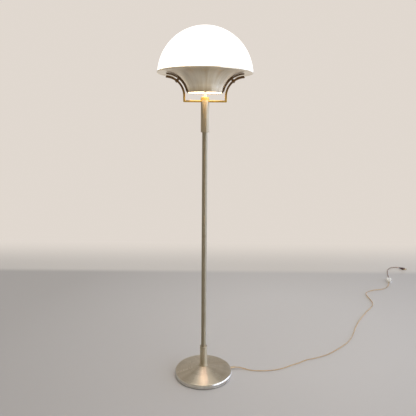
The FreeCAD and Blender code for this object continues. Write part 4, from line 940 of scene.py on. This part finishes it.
def lay_twin(line, lobe, off, turns):
    """Rolls a flat twin cord gently along its line and rests it on the floor.
    turns are (how far along, roll in degrees)."""
    total = sum((b - a).length for a, b in zip(line, line[1:]))
    path, rolls = [], []
    run = 0.0
    for i, p in enumerate(line):
        if i:
            run += (p - line[i - 1]).length
        s = run / total
        roll = 0.0
        for (s0, r0), (s1, r1) in zip(turns, turns[1:]):
            if s0 <= s <= s1:
                f = (s - s0) / (s1 - s0)
                f = f * f * (3 - 2 * f)
                roll = math.radians(r0 + (r1 - r0) * f)
                break
        low = (lobe + off * abs(math.sin(roll)) + 0.05) * MM
        path.append(Vector((p.x, p.y, max(p.z, low))))
        rolls.append(roll)
    return path, rolls


def sweep(name, path, rolls, section):
    """Sweeps a closed section (list of (across, up) in millimetres) along a path."""
    bm = bmesh.new()
    rings = []
    n = len(path)
    for i, p in enumerate(path):
        d = (path[min(i + 1, n - 1)] - path[max(i - 1, 0)]).normalized()
        side = d.cross(Vector((0, 0, 1))).normalized()
        up = side.cross(d).normalized()
        c, s = math.cos(rolls[i]), math.sin(rolls[i])
        a = side * c + up * s
        b = up * c - side * s
        rings.append([bm.verts.new(p + a * (u * MM) + b * (v * MM)) for u, v in section])
    m = len(section)
    for A, B in zip(rings, rings[1:]):
        for i in range(m):
            j = (i + 1) % m
            bm.faces.new((A[i], A[j], B[j], B[i]))
    bm.faces.new(list(reversed(rings[0])))
    bm.faces.new(rings[-1])
    bmesh.ops.recalc_face_normals(bm, faces=bm.faces)
    me = bpy.data.meshes.new(name)
    bm.to_mesh(me)
    bm.free()
    return me


LOBE, OFF = 1.58, 1.45


def twin_section(lobe=LOBE, off=OFF, n=11):
    """Outline of a flat twin cord: two round lobes joined at a shallow waist."""
    waist = math.degrees(math.acos(min(1.0, (off - 0.42) / lobe)))
    right = arc_pts(off, 0, lobe, -(180 - waist), 180 - waist, n)
    left = [(-x, -y) for x, y in right]
    return right + left


def core_section(x, r=0.72, n=8):
    return [(x + r * math.cos(2 * math.pi * k / n), r * math.sin(2 * math.pi * k / n)) for k in range(n)]


def twin_cord(name, points, turns, node, mat="cord"):
    line = smooth_line(points, name + "_line", 7)
    path, rolls = lay_twin(line, LOBE, OFF, turns)
    skin = piece(name, sweep(name, path, rolls, twin_section()), "stand", M[mat], (node,), 50)
    cores = piece(name + "_wires", join_meshes(name + "_wires", [sweep("a", path, rolls, core_section(OFF)),
                                                              sweep("b", path, rolls, core_section(-OFF))]),
                  "stand", M["wire"], (), 50)
    return skin, path


cordA, pathA = twin_cord(
    "cord_base_to_switch", ROUTE_A,
    [(0.0, 0.0), (0.05, 0.0), (0.10, 18.0), (0.17, -8.0), (0.26, 24.0), (0.33, 5.0), (0.42, 38.0), (0.50, -6.0), (0.58, -30.0),
     (0.66, 0.0), (0.735, 58.0), (0.80, 62.0), (0.835, 20.0), (0.865, -48.0), (0.90, -10.0), (0.94, 18.0), (0.975, 0.0), (1.0, 0.0)],
    "cord_to_switch")
# the stretch past the switch, in the cord's painted-shade copy
cordB, pathB = twin_cord(
    "cord_switch_to_plug", ROUTE_B,
    [(0.0, 0.0), (0.1, 0.0), (0.3, 25.0), (0.55, -15.0), (0.75, 40.0), (0.92, 5.0), (1.0, 0.0)],
    "cord_to_plug", "cord_painted_shade")

# --------------------------------------------------------------------- stand pieces
lathe("pole_tube", [(9.65, 49.0), (11.1, 49.0), (11.1, 1104.0), (9.65, 1104.0)], "stand", M["pole"],
      ("pole",), seg=96)
stem_me = lathe_mesh("stem_tube", soften([(15.7, 1091.0), (17.25, 1091.0), (17.25, 1150.0, 0), (17.25, 1207.9, 0), (17.25, 1215.0),
                                          (15.7, 1215.0)], 0.25, 3), 128)
stem_me = carve(stem_me, block("slots", -25.0, 25.0, -11.1, 11.1, 1208.0, 1220.0))
piece("stem_tube", stem_me, "stand", M["stem"], ("stem_sleeve",), 32)
lathe("stem_end_ring", [(11.14, 1087.6), (17.25, 1087.6, 0.9), (17.25, 1090.95), (15.66, 1090.95), (15.66, 1108.0), (5.1, 1108.0),
                        (5.1, 1104.02), (11.14, 1104.02)], "stand", M["stem"], ("stem_ring",), seg=128)
lathe("collar_sleeve", [(14.25, 49.0), (15.7, 49.0), (15.7, 125.5), (14.25, 125.5)], "stand", M["collar"],
      ("lower_collar",), seg=128)
lathe("collar_top_ring", [(14.25, 125.65), (15.6, 125.65), (16.1, 126.3), (16.1, 136.6, 0.8), (15.2, 137.5), (14.45, 137.5),
                          (14.25, 137.2)], "stand", M["collar"], ("collar_ring",), seg=128)
lathe("foot_collar_flange", [(5.3, 44.0), (19.9, 44.0), (19.9, 46.2, 0.6), (18.7, 48.6, 0.5), (17.7, 49.0), (5.3, 49.0)], "stand",
      M["collar"], ("foot_flange",), seg=128)

# base cover, in one skin: cone, small bevel, polished band with a bead above the foot
OUT = [(129.2, 3.0), (129.2, 4.2), (128.75, 4.7), (128.75, 5.2), (129.2, 5.7), (129.2, 14.6), (128.9, 15.4), (128.35, 15.9),
       (127.9, 16.5), (126.2, 19.9), (125.2, 20.5)]
INN = [(20.8, 42.5), (124.6, 18.95), (127.3, 15.6), (127.7, 15.0), (127.7, 3.0)]
cone = [(125.2 + (21.0 - 125.2) * k / 24.0, 20.5 + (44.0 - 20.5) * k / 24.0) for k in range(1, 25)]
prof = soften(OUT, 0.25, 3, closed=False)[:-1] + [(125.2, 20.5)] + cone + [(5.3, 44.0), (5.3, 42.5)] + INN
cover_me = lathe_mesh("base_spun_cover", prof, 224)
cover = piece("base_spun_cover", cover_me, "stand", M["base"], ("base_cover",), 24)
cover_me.materials.append(M["band"])
for p in cover_me.polygons:
    c = p.center
    r = math.hypot(c.x, c.y) / MM
    if r > 125.9 and c.z > 0:
        p.material_index = 1

# trumpet shade: spun skin with a rolled hem at the mouth and an upturned rim
KN, KF = 89.0, 90.3
a_n = math.degrees(math.pi - math.asin((1245.8 - AZ) / KN))
a_f = math.degrees(math.pi - math.asin((1245.8 - AZ) / KF))
outer = arc_pts(AX, AZ, KN, a_n, 90.0, 60)
inner = arc_pts(AX, AZ, KF, 90.0, a_f, 60)
hem = arc_pts(71.35, 1245.2, 1.45, 60.0, -240.0, 14)
rim = soften([(161.0, 1320.0), (192.0, 1320.0, 0.8), (193.0, 1320.9, 0.5), (193.0, 1324.4, 0.3), (192.6, 1324.8, 0.3),
              (192.1, 1324.8, 0.3), (191.8, 1324.5, 0.3), (191.8, 1321.3, 0.3), (161.0, 1321.3)], 0.3, 3, closed=False)
flange_out = [(161.0 + (191.2 - 161.0) * k / 6.0, 1320.0) for k in range(1, 6)]
trump_prof = outer[:-1] + [rim[0]] + flange_out + rim[1:-1] + [rim[-1]] + inner[1:]
trumpet = lathe("trumpet_shade", trump_prof, "stand", M["trumpet"], ("trumpet",), seg=256, rad=0.0, angle=28)
trumpet.data.materials.append(M["enamel"])
for p in trumpet.data.polygons:
    c = p.center / MM
    off = math.hypot(math.hypot(c.x, c.y) - AX, c.z - AZ)
    if off > 89.9 and c.z < 1323.0 and p.normal.x * c.x + p.normal.y * c.y <= p.normal.z * 40.0 + 1e-6:
        p.material_index = 1
hem_o = lathe("trumpet_hem", arc_pts(71.9, 1245.1, 1.35, 0.0, 337.5, 15), "stand", M["hem"], (), seg=200,
              rad=0.0, angle=60)

# dome: opal cap with a rounded foot
RO, RI, ZC = 191.9, 188.9, 1308.1
lo_o = math.degrees(math.asin((1322.2 - ZC) / RO))
lo_i = math.degrees(math.asin((1322.2 - ZC) / RI))
dprof = arc_pts(0, ZC, RO, lo_o, 90.0, 72)
dprof[-1] = (0.0, ZC + RO)
din = arc_pts(0, ZC, RI, 90.0, lo_i, 60)
din[0] = (0.0, ZC + RI)
foot = [(188.75, 1321.7), (189.4, 1321.4), (190.8, 1321.4), (191.35, 1321.7)]
lathe("opal_dome", dprof + din + foot, "dome", M["dome"], ("dome",), seg=256, rad=0.0, angle=60)

# --------------------------------------------------------------------------- stage
floor_me = bpy.data.meshes.new("floor")
bm = bmesh.new()
X0, X1, Y0, Y1 = -12.0, 14.0, -12.0, 14.0
v = [bm.verts.new(p) for p in ((X0, Y0, 0), (X1, Y0, 0), (X1, Y1, 0), (X0, Y1, 0))]
bm.faces.new(v)
bm.to_mesh(floor_me)
bm.free()
floor = obj_from("floor", floor_me)
FAR_TONE = (0.750, 0.688, 0.628)
t = Tree("studio_floor")
P, x, y, z = t.where()
f = t.noise(P, 1.1, 4.0, 0.5)
near = t.mix(f, (0.445, 0.424, 0.412), (0.480, 0.460, 0.449))
# painted light: a pool of lamp light on the middle of the floor, and the floor paler towards the front of the lamp
painted_light_pool = t.vmath("LENGTH", t.combine(t.math("ADD", x, -0.55), t.math("MULTIPLY", t.math("ADD", y, -0.45), 1.1), 0.0))
near = t.mix(t.span(painted_light_pool, 0.5, 1.7, 0.62, 0.0), near, (0.61, 0.592, 0.585))
near = t.mix(t.span(y, -0.9, -1.7, 0.0, 1.0), near, (0.84, 0.77, 0.66))
# painted shade: the floor darker towards the left
near = t.mix(t.span(x, -1.0, 0.5, 0.10, 0.0), near, (0.12, 0.11, 0.10))
step = t.node("ShaderNodeMapRange", interpolation_type="SMOOTHSTEP")
t.feed(step, 0, y)
for i, q in enumerate((1.36, 1.47, 0.0, 1.0)):
    step.inputs[i + 1].default_value = q
t.set(color=t.mix(step.outputs[0], near, (0.630, 0.596, 0.562)), rough=t.span(f, 0.3, 0.7, 0.42, 0.55))
sweep_up = t.node("ShaderNodeEmission")
sweep_up.inputs[0].default_value = (*FAR_TONE, 1)
far = t.node("ShaderNodeMixShader")
away = t.node("ShaderNodeMapRange", interpolation_type="SMOOTHSTEP")
t.feed(away, 0, t.math("MAXIMUM", t.math("MULTIPLY", t.vmath("LENGTH", P), 0.5), y))
for i, q in enumerate((1.43, 2.3, 0.0, 1.0)):
    away.inputs[i + 1].default_value = q
t.link(away.outputs[0], far.inputs[0])
t.link(t.bsdf.outputs[0], far.inputs[1])
t.link(sweep_up.outputs[0], far.inputs[2])
t.link(far.outputs[0], t.out.inputs["Surface"])
floor_me.materials.append(t.mat)

# -------------------------------------------------------------------------- lights
# The room as the metal sees it: a bright window side on the right, a pale wall behind,
# a dimmer, warmer side on the left.
world = bpy.data.worlds.new("studio")
scene.world = world
world.use_nodes = True
wt = world.node_tree
wt.nodes.clear()


def wnode(kind, *ins, **props):
    n = wt.nodes.new(kind)
    for k, q in props.items():
        setattr(n, k, q)
    for i, q in enumerate(ins):
        if q is None:
            continue
        if isinstance(q, bpy.types.NodeSocket):
            wt.links.new(q, n.inputs[i])
        else:
            n.inputs[i].default_value = q
    return n


def wstep(v, a, b):
    return wnode("ShaderNodeMapRange", v, a, b, 0.0, 1.0, interpolation_type="SMOOTHSTEP").outputs[0]


def wmix(f, a, b):
    n = wnode("ShaderNodeMix", data_type="RGBA")
    wt.links.new(f, n.inputs[0])
    for i, q in ((6, a), (7, b)):
        if isinstance(q, bpy.types.NodeSocket):
            wt.links.new(q, n.inputs[i])
        else:
            n.inputs[i].default_value = (*q, 1)
    return n.outputs[2]


way = wnode("ShaderNodeTexCoord")
parts = wnode("ShaderNodeSeparateXYZ", way.outputs["Generated"])
back_y = wnode("ShaderNodeMath", parts.outputs[1], -1.0, operation="MULTIPLY").outputs[0]
turn = wnode("ShaderNodeMath", parts.outputs[0], back_y, operation="ARCTAN2").outputs[0]
turn_abs = wnode("ShaderNodeMath", turn, operation="ABSOLUTE").outputs[0]
room = wmix(wstep(turn, 0.62, 0.80), (0.46, 0.415, 0.345), (2.7, 3.1, 4.0))
high = wnode("ShaderNodeMath", wstep(turn, 0.62, 0.80), wstep(parts.outputs[2], 0.20, 0.40), operation="MULTIPLY").outputs[0]
room = wmix(high, room, (0.85, 0.88, 0.92))
room = wmix(wstep(turn_abs, 2.50, 2.90), room, (0.62, 0.585, 0.545))
over = wnode("ShaderNodeMath", wstep(turn_abs, 1.95, 2.35), wstep(parts.outputs[2], 0.12, 0.26), operation="MULTIPLY").outputs[0]
room = wmix(over, room, (0.60, 0.565, 0.525))
room = wmix(wstep(parts.outputs[2], 0.62, 0.95), room, (0.60, 0.585, 0.56))
lit = wnode("ShaderNodeBackground", room, 1.0)
seen = wnode("ShaderNodeBackground", (*FAR_TONE, 1), 1.0)
ray = wnode("ShaderNodeLightPath")
pick = wnode("ShaderNodeMixShader", ray.outputs["Is Camera Ray"], lit.outputs[0], seen.outputs[0])
wnode("ShaderNodeOutputWorld", pick.outputs[0])


def light(name, kind, at, energy, color, size=0.5, size_y=None, to=None, radius=None, shape=None):
    l = bpy.data.lights.new(name, kind)
    l.energy = energy
    l.color = color
    if kind == "AREA":
        l.shape = shape or ("RECTANGLE" if size_y else "SQUARE")
        l.size = size
        if size_y:
            l.size_y = size_y
    if radius is not None:
        l.shadow_soft_size = radius
    o = bpy.data.objects.new(name, l)
    scene.collection.objects.link(o)
    o.location = at
    if to is not None:
        o.rotation_euler = (Vector(to) - Vector(at)).to_track_quat("-Z", "Y").to_euler()
    return o


light("key_right", "AREA", (2.6, -1.4, 2.2), 10, (0.96, 0.98, 1.0), 2.0, 2.2, to=(0, 0, 0.9))
light("top_soft", "AREA", (0.3, 0.2, 3.6), 34, (1.0, 0.98, 0.95), 2.6, 2.6, to=(0.3, 0.2, 0))
light("bulb_glow", "POINT", (0, 0, 1.353), 3, (1.0, 0.72, 0.40), radius=0.03)
# the bulb's light that falls past the fork on the base
for k, (x, y) in enumerate(((0.030, 0.030), (-0.030, 0.030), (0.030, -0.030), (-0.030, -0.030))):
    g = light("down_glow_%d" % k, "AREA", (x, y, 1.2380), 0.0135, (1.0, 0.87, 0.79), 0.03, shape="DISK")
    g.data.spread = math.radians(11)
    g.visible_camera = False

scene.view_settings.view_transform = "Standard"
scene.view_settings.look = "None"
